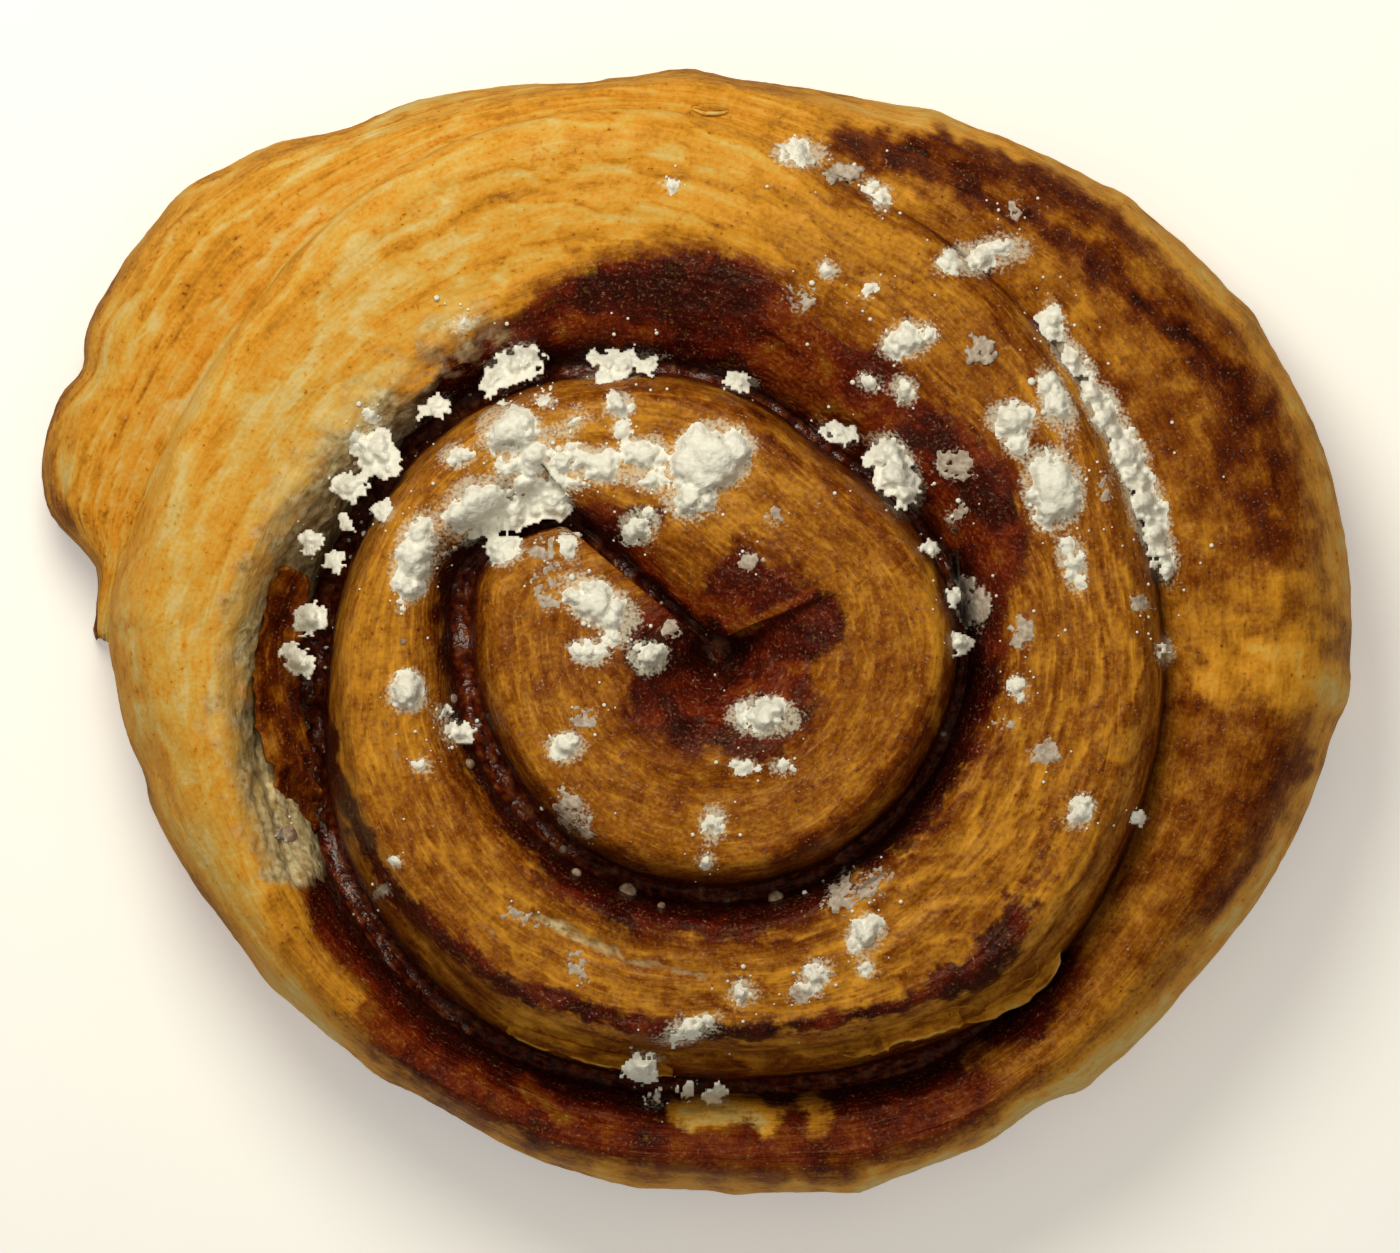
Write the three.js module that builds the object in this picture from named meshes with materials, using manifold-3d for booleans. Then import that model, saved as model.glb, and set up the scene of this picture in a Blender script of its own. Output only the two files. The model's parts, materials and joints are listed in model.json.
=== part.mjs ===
// A baked cinnamon roll: one long strip of laminated dough, wound anticlockwise from its small
// centre, with a thin layer of cinnamon filling between its turns, and lumps of icing sugar on top.
// Millimetres, +Z up. The roll stands on z = 0, and the middle of its outline is at the origin.

import * as THREE from 'three';
import { mergeVertices } from 'three/addons/utils/BufferGeometryUtils.js';
import Module from 'manifold-3d';

const wasm = await Module();
wasm.setup();

// Driving dimensions. The winding angle starts at +X and grows anticlockwise by 360 a turn.
const eyePlace = new THREE.Vector2(1.76, -1.55);
const eyeRadius = 1.3;
const crackDirection = 138;
const crackLength = 18.5;
const crackMouth = 1.5;
const crackHalfWidth = 0.9;
const stripStart = 142;
const crackOpens = 440;
const crackMeets = 492;
const outlineStarts = 898;
const stripEnd = 1258;
const foldDirection = 383;
const fullTurn = 360;

// The cinnamon filling, a wall between the turns that starts just above the base.
const fillingEnd = 790;
const fillingHalfWidth = 0.5;
const fillingBase = 0.4;
const fillingRounding = 0.4;
const fillingClearance = 0.32;
const belowEyeHollow = 1;

// Form of the strip's section.
const lipHeight = 0.6;
const baseInset = 3;
const insetShare = 0.3;
const wallRoundness = 2.2;
const widestLevel = 0.42;
const innerRoundness = 1.6;
const outerRoundness = 2.1;
const innerSlopeShare = 0.62;
const wallTurnsBare = [outlineStarts - 12, outlineStarts + 14];
const terracePlace = 0.5;

// Spacing of the facets.
const stationSpacing = 4.6;
const crackSpacing = 2.6;
const slopeSteps = 6;
const crownSteps = 4;
const wallSteps = 2;
const weldDistance = 1e-5;

// Radius of the groove round each turn, and from outlineStarts on of the outline of the roll.
const edgeRadius = [
  [135, 18.5], [150, 21.7], [165, 24.0], [180, 23.3], [210, 22.9], [330, 22.4], [360, 22.8],
  [390, 22.0], [410, 21.1], [425, 21.5], [440, 23.5], [470, 27.7], [495, 32.0], [525, 35.6],
  [545, 37.6], [570, 40.0], [600, 41.4], [630, 40.2], [660, 42.3], [675, 42.6], [705, 41.4],
  [735, 40.6], [765, 41.5], [780, 42.6], [795, 44.1], [810, 48.0], [825, 50.6], [840, 52.0],
  [870, 52.9], [885, 54.2], [898, 56.2], [904, 55.4], [915, 54.2], [930, 51.7], [960, 49.3],
  [975, 50.2], [990, 49.6], [1005, 51.2], [1035, 52.8], [1050, 54.2], [1077, 58.1],
  [1095, 59.1], [1110, 58.4], [1140, 54.2], [1155, 52.6], [1170, 52.8], [1185, 54.5],
  [1200, 58.1], [1213, 63.2], [1225, 65.5], [1242, 64.8], [1248, 63.0], [1252, 58.2],
  [1255, 57.6], [1258, 58.3],
];

// Half the gap between two turns: wide in the deep slot at the left, shut in the last crease.
const grooveHalfWidth = [
  [135, 1.8], [143, 1.8], [158, 1.05], [200, 0.9], [430, 0.9], [450, 1.0], [505, 1.0],
  [530, 1.1], [545, 1.5], [562, 1.2], [585, 0.9], [795, 0.9],
  [825, 0.2], [898, 0.2],
];

// Level of the filling in the groove, which is also where the lips of the dough begin.
const grooveLevel = [
  [135, 26.0], [165, 23.5], [270, 23.0], [360, 22.0], [420, 21.0], [450, 22.0], [480, 20.0],
  [510, 15.0], [530, 9.0], [550, 8.0], [575, 13.0], [620, 14.0], [665, 15.0], [695, 20.0],
  [740, 22.5], [800, 25.0], [830, 24.0], [870, 20.5], [898, 12.0],
];

// Height of the crown of the strip.
const crownHeight = [
  [142, 32.0], [200, 33.0], [400, 33.6], [470, 32.5], [540, 31.0], [630, 30.5], [720, 30.0],
  [800, 28.8], [860, 26.6], [900, 25.0], [960, 21.5], [1020, 21.5], [1080, 25.0],
  [1140, 26.0], [1170, 24.0], [1200, 20.5], [1230, 17.0], [1258, 11.0],
];

// Width of the slope from the inner edge up to the crown, and from the crown to the outer edge.
const innerSlope = [
  [142, 3.0], [180, 5.0], [225, 9.0], [300, 10.0], [360, 11.5], [382, 12.5], [384, 9.0],
  [430, 9.0], [470, 6.0], [500, 3.5], [540, 4.5], [570, 3.7], [630, 2.4], [675, 2.8],
  [720, 4.9], [750, 8.3], [780, 10.5], [815, 11.5], [835, 9.0], [855, 4.5], [880, 6.0],
  [900, 7.5], [930, 6.0], [1000, 5.6], [1060, 5.0], [1140, 6.0], [1165, 4.0], [1190, 1.6],
  [1258, 1.2],
];
const outerSlope = [
  [142, 3.0], [540, 3.2], [575, 4.6], [660, 5.2], [700, 4.2], [760, 4.0], [880, 3.5],
  [900, 8.0], [950, 4.2], [1000, 3.4], [1040, 6.0], [1090, 8.0], [1150, 6.0], [1190, 4.0],
  [1225, 8.0], [1258, 3.0],
];

// How far the slopes are broken into a terrace by a loose flaky layer: 0 smooth, 1 a full step.
const innerTerrace = [
  [880, 0], [890, 0.8], [922, 0.8], [932, 0],
];
const outerTerrace = [
  [545, 0], [575, 0.7], [610, 0.9], [660, 1], [680, 0.6], [700, 0],
];

// Level of the bare dough round the eye, where the strip has no groove on its inner side.
const hollowLevel = [
  [142, 27.5], [200, 25.6], [300, 24.8], [382, 25.2], [384, 30.0], [440, 29.6], [492, 26.8],
];

// Lumps of icing sugar: place from the eye in x and y, half length and half width in mm, and
// the direction in degrees in which the lump is long.
const sugarLumps = [
  [-18.9, 19.8, 3.0, 2.6, 0], [-14.0, 17.0, 2.4, 1.6, 20], [-10.2, 16.6, 2.2, 1.6, 0],
  [-6.6, 17.6, 2.4, 1.8, 0], [-0.4, 17.4, 4.4, 3.4, 20], [-2.3, 13.8, 2.7, 2.2, 0],
  [-8.8, 22.2, 1.4, 1.3, 0], [-21.9, 12.7, 3.8, 3.0, 30], [-19.6, 9.0, 1.7, 1.6, 0],
  [-23.5, 17.6, 1.6, 1.2, 0], [-7.0, 11.2, 1.7, 1.4, 30], [-27.6, 8.3, 3.7, 2.1, 80],
  [-10.8, 4.1, 3.8, 1.9, 160], [-6.2, -0.8, 1.7, 1.6, 0], [-11.6, -0.4, 1.6, 1.2, 0],
  [-28.2, -3.9, 2.3, 1.9, 90], [-13.7, -9.0, 1.6, 1.4, 0], [4.4, -6.3, 3.2, 1.8, 0],
  [-0.3, -16.0, 1.8, 1.4, 90], [13.6, -26.3, 2.2, 1.8, 60], [2.5, -31.6, 1.3, 1.3, 0],
  [8.6, -30.6, 2.2, 1.5, 60], [-2.3, -34.8, 2.6, 1.2, 20], [0.6, -43.6, 1.9, 1.5, 0],
  [-32.0, 17.2, 3.2, 2.2, 60], [-18.4, 26.2, 2.4, 1.6, 20], [7.8, 45.5, 2.4, 1.4, 0],
  [15.7, 42.2, 1.6, 1.5, 90], [23.8, 36.4, 4.3, 1.5, 20], [32.0, 30.0, 2.4, 1.3, 120],
  [37.6, 22.4, 3.6, 1.7, 125], [41.8, 13.6, 3.8, 1.7, 105], [31.2, 14.3, 3.7, 2.7, 95],
  [32.6, 7.8, 2.6, 1.4, 100], [27.0, 20.9, 2.4, 1.9, 0], [31.2, 22.4, 3.4, 1.6, 110],
  [17.5, 28.2, 2.8, 1.8, 20], [16.4, 16.4, 3.2, 2.2, 110], [30.0, -9.7, 1.4, 1.2, 0],
  [33.3, -15.0, 1.7, 1.1, 60], [27.7, -3.7, 1.2, 1.0, 120],
];
const lumpFlatness = 0.55;
const lumpSunk = 0.55;
const largeLump = 2;

const radians = THREE.MathUtils.degToRad;

// Smooth value of a table of [angle, value] rows at any angle.
function valueAt(table, angle) {
  const last = table.length - 1;
  const at = THREE.MathUtils.clamp(angle, table[0][0], table[last][0]);
  let row = 1;
  while (row < last && table[row][0] < at) row += 1;
  const slope = (i) => {
    const [x0, y0] = table[Math.max(i - 1, 0)];
    const [x1, y1] = table[Math.min(i + 1, last)];
    return (y1 - y0) / (x1 - x0);
  };
  const [x0, y0] = table[row - 1];
  const [x1, y1] = table[row];
  const span = x1 - x0;
  const s = (at - x0) / span;
  const straight = (y1 - y0) / span;
  const m0 = slope(row - 1) * straight > 0 ? slope(row - 1) : 0;
  const m1 = slope(row) * straight > 0 ? slope(row) : 0;
  const h = s * s * (3 - 2 * s);
  return y0 + (y1 - y0) * h + span * s * (1 - s) * (m0 * (1 - s) - m1 * s);
}

function polar(radius, angle) {
  return new THREE.Vector2(Math.cos(radians(angle)), Math.sin(radians(angle))).multiplyScalar(radius);
}

// A point beside the crack that runs out from the eye, at a distance along it.
function besideCrack(distance, aside) {
  return polar(distance, crackDirection).add(polar(aside, crackDirection + 90));
}

// Outer edge of the strip. Between two turns it keeps half a groove clear.
function outerEdge(angle) {
  const gap = angle < outlineStarts ? valueAt(grooveHalfWidth, angle) : 0;
  return polar(valueAt(edgeRadius, angle) - gap, angle);
}

// Inner edge of the strip: round the eye, out along the crack, then outside the turn before.
function innerEdge(angle) {
  if (angle >= crackMeets) {
    const before = angle - fullTurn;
    return polar(valueAt(edgeRadius, before) + valueAt(grooveHalfWidth, before), angle);
  }
  const clearance = THREE.MathUtils.radToDeg(Math.asin(crackHalfWidth / eyeRadius));
  if (angle <= crackOpens) {
    const share = (angle - stripStart) / (crackOpens - stripStart);
    return polar(eyeRadius, crackDirection + clearance + share * (fullTurn - 2 * clearance));
  }
  const share = (angle - crackOpens) / (crackMeets - crackOpens);
  const nearEye = eyeRadius * Math.cos(radians(clearance));
  return besideCrack(THREE.MathUtils.lerp(nearEye, crackLength - crackMouth, share), -crackHalfWidth);
}

// Quarter of a rounded arch: 0 at the edge of a slope, 1 on the crown.
function archRise(share, roundness) {
  const left = 1 - THREE.MathUtils.clamp(share, 0, 1);
  return (1 - left ** roundness) ** (1 / roundness);
}

function innerLevel(angle) {
  if (angle < crackMeets) return valueAt(hollowLevel, angle);
  return valueAt(grooveLevel, angle - fullTurn) + lipHeight;
}

function outerLevel(angle) {
  if (angle < outlineStarts) return valueAt(grooveLevel, angle) + lipHeight;
  return valueAt(crownHeight, angle) * widestLevel;
}

// The widths of both slopes at an angle, made to fit into the width of the strip.
function slopeWidths(angle, width) {
  const inner = Math.min(valueAt(innerSlope, angle), innerSlopeShare * width);
  const outer = Math.min(valueAt(outerSlope, angle), width - inner);
  return [inner, outer];
}

// Rise of a slope that a flaky layer breaks into two arches, one behind the other.
function slopeRise(share, roundness, terrace) {
  const lower = archRise(share / terracePlace, roundness) * terracePlace;
  const upper = archRise((share - terracePlace) / (1 - terracePlace), roundness) * (1 - terracePlace);
  return THREE.MathUtils.lerp(archRise(share, roundness), lower + upper, terrace);
}

// Height of the top of the strip at a distance from its inner edge.
function topHeight(angle, distance, width) {
  const [inner, outer] = slopeWidths(angle, width);
  const crown = valueAt(crownHeight, angle);
  const innerRise = slopeRise(distance / inner, innerRoundness, valueAt(innerTerrace, angle));
  const outerRise = slopeRise((width - distance) / outer, outerRoundness, valueAt(outerTerrace, angle));
  return crown - (crown - innerLevel(angle)) * (1 - innerRise)
    - (crown - outerLevel(angle)) * (1 - outerRise);
}

// Closed section of the strip as [distance from its inner edge, height] points, anticlockwise
// for an eye that looks back along the winding.
function stripSection(angle, width) {
  const [inner, outer] = slopeWidths(angle, width);
  const points = [[0, 0], [0, topHeight(angle, 0, width)]];
  const addTop = (distance) => points.push([distance, topHeight(angle, distance, width)]);
  const alongSlope = (i) => 1 - Math.cos(Math.PI * i / slopeSteps / 2);
  for (let i = 1; i <= slopeSteps; i += 1) addTop(inner * alongSlope(i));
  for (let i = 1; i < crownSteps; i += 1) addTop(inner + (width - outer - inner) * i / crownSteps);
  for (let i = slopeSteps; i >= 1; i -= 1) addTop(width - outer * alongSlope(i));
  const edge = topHeight(angle, width, width);
  const bare = THREE.MathUtils.smoothstep(angle, ...wallTurnsBare);
  const inset = Math.min(baseInset, insetShare * width) * bare;
  for (let i = 0; i <= wallSteps; i += 1) {
    const share = i / (wallSteps + 1);
    points.push([width - inset * share ** wallRoundness, edge * (1 - share)]);
  }
  points.push([width - inset, 0]);
  return points;
}

// Angles about one spacing apart along the outer edge.
function stations(start, end) {
  const list = [];
  let angle = start;
  while (angle < end - 1) {
    list.push(angle);
    angle += THREE.MathUtils.radToDeg(stationSpacing / valueAt(edgeRadius, angle));
  }
  list.push(end);
  return list;
}

// A closed body from rings of points: a capped cylinder whose rings take the given places.
function loft(rings) {
  const steps = rings.length - 1;
  const sides = rings[0].length;
  const tube = new THREE.CylinderGeometry(1, 1, steps, sides, steps);
  tube.deleteAttribute('normal');
  tube.deleteAttribute('uv');
  const position = tube.getAttribute('position');
  for (let i = 0; i < position.count; i += 1) {
    const ring = rings[Math.round(position.getY(i) + steps / 2)];
    const x = position.getX(i);
    const z = position.getZ(i);
    const side = (Math.round(Math.atan2(x, z) / (2 * Math.PI) * sides) + sides) % sides;
    const middle = new THREE.Vector3();
    ring.forEach((point) => middle.addScaledVector(point, 1 / sides));
    const place = Math.hypot(x, z) < 0.5 ? middle : ring[side];
    position.setXYZ(i, place.x, place.y, place.z);
  }
  return mergeVertices(tube, weldDistance);
}

function solidOf(geometry) {
  return new wasm.Manifold(new wasm.Mesh({
    numProp: 3,
    vertProperties: Float32Array.from(geometry.getAttribute('position').array),
    triVerts: Uint32Array.from(geometry.getIndex().array),
  }));
}

function geometryOf(solid) {
  const mesh = solid.getMesh();
  const geometry = new THREE.BufferGeometry();
  geometry.setAttribute('position', new THREE.BufferAttribute(mesh.vertProperties, 3));
  geometry.setIndex(new THREE.BufferAttribute(mesh.triVerts, 1));
  geometry.translate(eyePlace.x, eyePlace.y, 0);
  geometry.computeVertexNormals();
  return geometry;
}

function doughStrip() {
  const turns = [...stations(stripStart, foldDirection - 1), ...stations(foldDirection + 1, stripEnd)];
  const rings = turns.map((angle) => {
    const inner = innerEdge(angle);
    const across = outerEdge(angle).sub(inner);
    const width = across.length();
    return stripSection(angle, width).map(([distance, height]) => {
      const place = inner.clone().addScaledVector(across, distance / width);
      return new THREE.Vector3(place.x, place.y, height);
    });
  });
  return solidOf(loft(rings));
}

// Way of the filling: out of the eye along the crack, then on along the groove.
function fillingPath() {
  const path = [];
  const eyeLevel = valueAt(hollowLevel, fullTurn) - belowEyeHollow;
  for (let distance = 0; distance < crackLength; distance += crackSpacing) {
    const share = distance / crackLength;
    const level = THREE.MathUtils.lerp(eyeLevel, valueAt(grooveLevel, stripStart), share);
    path.push({ place: besideCrack(distance, 0), level });
  }
  stations(stripStart + 2, fillingEnd).forEach((angle) => {
    path.push({ place: polar(valueAt(edgeRadius, angle), angle), level: valueAt(grooveLevel, angle) });
  });
  return path;
}

// A wall along the way of the filling, from a bottom level up to the filling's own or a given top.
function fillingWall(halfWidth, bottom, top) {
  const path = fillingPath();
  const rings = path.map(({ place, level }, i) => {
    const before = path[Math.max(i - 1, 0)].place;
    const after = path[Math.min(i + 1, path.length - 1)].place;
    const along = after.clone().sub(before).normalize();
    const outward = new THREE.Vector2(along.y, -along.x);
    const roof = top ?? level;
    const section = [
      [-halfWidth, bottom], [-halfWidth, roof - fillingRounding], [-halfWidth / 2, roof],
      [halfWidth / 2, roof], [halfWidth, roof - fillingRounding], [halfWidth, bottom],
    ];
    return section.map(([aside, height]) => {
      const point = place.clone().addScaledVector(outward, aside);
      return new THREE.Vector3(point.x, point.y, height);
    });
  });
  return solidOf(loft(rings));
}

// Height of the dough under a place seen from above.
function heightAt(x, y) {
  const radius = Math.hypot(x, y);
  let angle = THREE.MathUtils.radToDeg(Math.atan2(y, x));
  while (angle < stripStart || valueAt(edgeRadius, angle) < radius) angle += fullTurn;
  const turn = Math.min(angle, stripEnd);
  const inner = innerEdge(turn);
  const width = outerEdge(turn).distanceTo(inner);
  const distance = THREE.MathUtils.clamp(inner.distanceTo(new THREE.Vector2(x, y)), 0, width);
  return topHeight(turn, distance, width);
}

// A flattened lump of sugar that sits in the crust.
function sugarLump([x, y, halfLength, halfWidth, direction]) {
  const detail = halfWidth > largeLump ? 1 : 0;
  const lump = new THREE.IcosahedronGeometry(1, detail);
  lump.deleteAttribute('normal');
  lump.deleteAttribute('uv');
  lump.scale(halfLength, halfWidth, halfWidth * lumpFlatness + lumpSunk);
  lump.rotateZ(radians(direction));
  lump.translate(x, y, heightAt(x, y));
  return solidOf(mergeVertices(lump, weldDistance));
}

function largestPiece(solid) {
  return solid.decompose().reduce((best, piece) => (piece.volume() > best.volume() ? piece : best));
}

function sugaredDough() {
  const aboveRoll = 2 * crownHeight[0][1];
  const grooveRoom = fillingWall(fillingHalfWidth + fillingClearance, 0, aboveRoll);
  let dough = doughStrip();
  sugarLumps.forEach((lump) => {
    dough = dough.add(sugarLump(lump).subtract(grooveRoom));
  });
  return largestPiece(dough);
}

const crust = new THREE.MeshStandardMaterial({ color: 0xb8752e, roughness: 0.55, metalness: 0 });
const cinnamon = new THREE.MeshStandardMaterial({ color: 0x3f1c10, roughness: 0.3, metalness: 0 });

function namedMesh(name, solid, material) {
  const mesh = new THREE.Mesh(geometryOf(solid), material);
  mesh.name = name;
  return mesh;
}

const group = new THREE.Group();
group.add(namedMesh('dough', sugaredDough(), crust));
group.add(namedMesh('cinnamon_filling', fillingWall(fillingHalfWidth, fillingBase), cinnamon));

export default group;
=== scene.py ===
import json
import math
import bmesh
import bpy
import numpy as np
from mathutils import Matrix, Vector
from mathutils.bvhtree import BVHTree

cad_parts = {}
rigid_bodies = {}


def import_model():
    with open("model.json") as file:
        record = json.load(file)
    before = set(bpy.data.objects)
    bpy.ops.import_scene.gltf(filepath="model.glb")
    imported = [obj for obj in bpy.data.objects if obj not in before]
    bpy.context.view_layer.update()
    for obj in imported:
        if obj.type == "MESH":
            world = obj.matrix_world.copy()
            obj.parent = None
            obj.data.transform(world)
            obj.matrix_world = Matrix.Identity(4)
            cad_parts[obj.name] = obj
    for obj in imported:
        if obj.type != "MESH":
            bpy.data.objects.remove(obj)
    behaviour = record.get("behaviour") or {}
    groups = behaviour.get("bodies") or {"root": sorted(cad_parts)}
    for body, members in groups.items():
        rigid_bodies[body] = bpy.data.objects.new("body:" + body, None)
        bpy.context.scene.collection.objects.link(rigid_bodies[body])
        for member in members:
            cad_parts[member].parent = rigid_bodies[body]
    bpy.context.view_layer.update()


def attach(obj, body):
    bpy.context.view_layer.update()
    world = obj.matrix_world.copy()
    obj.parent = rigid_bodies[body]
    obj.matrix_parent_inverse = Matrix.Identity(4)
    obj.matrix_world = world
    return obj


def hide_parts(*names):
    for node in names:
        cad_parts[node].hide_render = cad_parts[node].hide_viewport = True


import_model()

mm = 0.001
scene = bpy.context.scene

# The eye is the centre that the dough winds round, anticlockwise. Places are in mm from it, and
# along the strip they are a winding angle in degrees and a distance from the strip's inner edge.
strip = {
    "eyePlace": (1.76, -1.55),
    "eyeRadius": 1.3,
    "crackDirection": 138,
    "crackLength": 18.5,
    "crackMouth": 1.5,
    "crackHalfWidth": 0.6,
    "start": 142,
    "crackOpens": 440,
    "crackMeets": 492,
    "outlineStarts": 898,
    "end": 1258,
    "lipHeight": 0.6,
    "baseInset": 3.0,
    "insetShare": 0.3,
    "wallRoundness": 2.2,
    "widestLevel": 0.42,
    "innerRoundness": 1.6,
    "outerRoundness": 2.1,
    "innerSlopeShare": 0.62,
    "wallBareFrom": 886,
    "wallBareTo": 912,
}
edgeRadius = [
    (135, 18.5), (150, 21.7), (165, 24.0), (180, 23.3), (210, 22.9), (330, 22.4), (360, 22.8),
    (390, 22.0), (410, 21.1), (425, 21.5), (440, 23.5), (470, 27.7), (495, 32.0), (525, 35.6),
    (545, 37.6), (570, 40.0), (600, 41.4), (630, 40.2), (660, 42.3), (675, 42.6), (705, 41.4),
    (735, 40.6), (765, 41.5), (780, 42.6), (795, 44.1), (810, 48.0), (825, 50.6), (840, 52.0),
    (870, 52.9), (885, 54.2), (898, 56.2), (904, 55.4), (915, 54.2), (930, 51.7), (960, 49.3),
    (975, 50.2), (990, 49.6), (1005, 51.2), (1035, 52.8), (1050, 54.2), (1077, 58.1),
    (1095, 59.1), (1110, 58.4), (1140, 54.2), (1155, 52.6), (1170, 52.8), (1185, 54.5),
    (1200, 58.1), (1213, 63.2), (1225, 65.5), (1242, 64.8), (1248, 63.0), (1252, 58.2),
    (1255, 57.6), (1258, 58.3),
]
grooveHalfWidth = [
    (135, 1.8), (143, 1.8), (158, 1.05), (200, 0.9), (430, 0.9), (450, 1.0), (505, 1.0),
    (530, 1.1), (545, 1.5), (562, 1.2), (585, 0.9), (795, 0.9), (825, 0.2), (898, 0.2),
]
lipGap = [
    (135, 1.8), (143, 1.6), (158, 0.9), (180, 0.95), (240, 0.85), (300, 0.6), (400, 0.45), (450, 0.5),
    (505, 0.9), (530, 1.1), (545, 1.5), (562, 1.2), (585, 0.9), (620, 0.6), (655, 0.8), (667, 0.2),
    (690, -0.1), (720, -0.35), (870, -0.35), (898, -0.05),
]
grooveLevel = [
    (135, 26), (165, 23.5), (270, 23), (360, 22), (420, 21), (450, 22), (480, 20), (510, 15),
    (530, 9), (550, 8), (575, 13), (620, 14), (665, 15), (695, 20), (740, 22.5), (800, 25),
    (830, 24), (870, 20.5), (898, 12),
]
crownHeight = [
    (142, 32), (200, 33), (400, 33.6), (470, 32.5), (540, 31), (630, 30.5), (720, 30),
    (800, 28.8), (860, 26.6), (900, 25), (960, 21.5), (1020, 21.5), (1080, 25), (1140, 26),
    (1170, 24), (1200, 20.5), (1230, 17), (1258, 11),
]
innerSlope = [
    (142, 3), (180, 5), (225, 9), (300, 10), (360, 11.5), (382, 12.5), (384, 9), (430, 9),
    (470, 6), (500, 3.5), (540, 4.5), (570, 3.7), (630, 2.4), (675, 2.8), (720, 4.9),
    (750, 8.3), (780, 10.5), (815, 11.5), (835, 9), (855, 4.5), (880, 6), (900, 7.5),
    (930, 6), (1000, 5.6), (1060, 5), (1140, 6), (1165, 4), (1190, 1.6), (1258, 1.2),
]
outerSlope = [
    (142, 3), (540, 3.2), (575, 4.6), (660, 5.2), (700, 4.2), (760, 4), (880, 3.5), (900, 8),
    (950, 4.2), (1000, 3.4), (1040, 6), (1090, 8), (1150, 6), (1190, 4), (1225, 8), (1258, 3),
]
innerTerrace = [(880, 0), (890, 0.8), (922, 0.8), (932, 0)]
outerTerrace = [(545, 0), (575, 0.7), (610, 0.9), (660, 1), (680, 0.6), (700, 0)]
hollowLevel = [
    (142, 27.5), (200, 25.6), (300, 24.8), (382, 25.2), (384, 30), (440, 29.6), (492, 26.8),
]


def curve(table, angle):
    # A smooth curve through the table's points. It keeps level where they turn back.
    xs, ys = np.array(table, float).T
    slope = np.zeros_like(ys)
    slope[1:-1] = (ys[2:] - ys[:-2]) / (xs[2:] - xs[:-2])
    slope[0] = (ys[1] - ys[0]) / (xs[1] - xs[0])
    slope[-1] = (ys[-1] - ys[-2]) / (xs[-1] - xs[-2])
    at = np.clip(angle, xs[0], xs[-1])
    row = np.clip(np.searchsorted(xs, at, side="left"), 1, len(xs) - 1)
    span = xs[row] - xs[row - 1]
    rise = ys[row] - ys[row - 1]
    s = (at - xs[row - 1]) / span
    m0 = np.where(slope[row - 1] * rise > 0, slope[row - 1], 0)
    m1 = np.where(slope[row] * rise > 0, slope[row], 0)
    return ys[row - 1] + rise * s * s * (3 - 2 * s) + span * s * (1 - s) * (m0 * (1 - s) - m1 * s)


def smooth(low, high, value):
    t = np.clip((value - low) / (high - low), 0, 1)
    return t * t * (3 - 2 * t)


def mix(a, b, share):
    return a + (b - a) * share


def hashed(ix, iy, iz, seed):
    # The large odd numbers scatter the bits of whole coordinates into an even random share.
    n = (ix * 73856093 ^ iy * 19349663 ^ iz * 83492791 ^ (seed + 1) * 26544357) & 0xFFFFFFFF
    n = (n ^ n >> 13) * 1274126177 & 0xFFFFFFFF
    n = (n ^ n >> 15) * 668265263 & 0xFFFFFFFF
    return ((n ^ n >> 16) & 0xFFFFFF) / 0xFFFFFF


def grain(x, y, z=0.0, seed=0):
    spots = np.broadcast_arrays(x, y, z)
    cells = [np.floor(a).astype(np.int64) for a in spots]
    parts = [a - c for a, c in zip(spots, cells)]
    parts = [p * p * (3 - 2 * p) for p in parts]
    total = 0
    for corner in range(8):
        steps = [corner & 1, corner >> 1 & 1, corner >> 2]
        weight = 1
        for part, step in zip(parts, steps):
            weight = weight * (part if step else 1 - part)
        total = total + weight * hashed(*(c + s for c, s in zip(cells, steps)), seed)
    return total


def fractal(x, y, z=0.0, seed=0, octaves=3):
    total, size = 0.0, 1.0
    for octave in range(octaves):
        fine = 2 ** octave
        total = total + size * (grain(x * fine, y * fine, z * fine, seed + 17 * octave) - 0.5)
        size *= 0.5
    return total


def patches(pattern, x, y, z=0.0):
    # Soft random patches about 0. A pattern is its strength, size in mm, seed and octaves.
    strength, size, seed, octaves = pattern
    return strength * fractal(x / size, y / size, z / size, seed, octaves)


def polar(radius, angle):
    turn = np.radians(angle)
    return np.stack([radius * np.cos(turn), radius * np.sin(turn)], -1)


def outerEdge(angle):
    gap = np.where(angle < strip["outlineStarts"], curve(lipGap, angle), 0)
    return polar(curve(edgeRadius, angle) - gap, angle)


def besideCrack(distance, aside):
    along = strip["crackDirection"]
    return polar(distance, along) + polar(aside, along + 90)


def innerEdge(angle):
    clearance = math.degrees(math.asin(strip["crackHalfWidth"] / strip["eyeRadius"]))
    share = (angle - strip["start"]) / (strip["crackOpens"] - strip["start"])
    direction = strip["crackDirection"] + clearance + share * (360 - 2 * clearance)
    eye = polar(strip["eyeRadius"], direction)
    share = (angle - strip["crackOpens"]) / (strip["crackMeets"] - strip["crackOpens"])
    near = strip["eyeRadius"] * math.cos(math.radians(clearance))
    reach = strip["crackLength"] - strip["crackMouth"]
    crack = besideCrack(near + share * (reach - near), -strip["crackHalfWidth"])
    before = angle - 360
    free = polar(curve(edgeRadius, before) + curve(lipGap, before), angle)
    at = np.asarray(angle)[..., None]
    crackOrFree = np.where(at >= strip["crackMeets"], free, crack)
    return np.where(at <= strip["crackOpens"], eye, crackOrFree)


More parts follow.
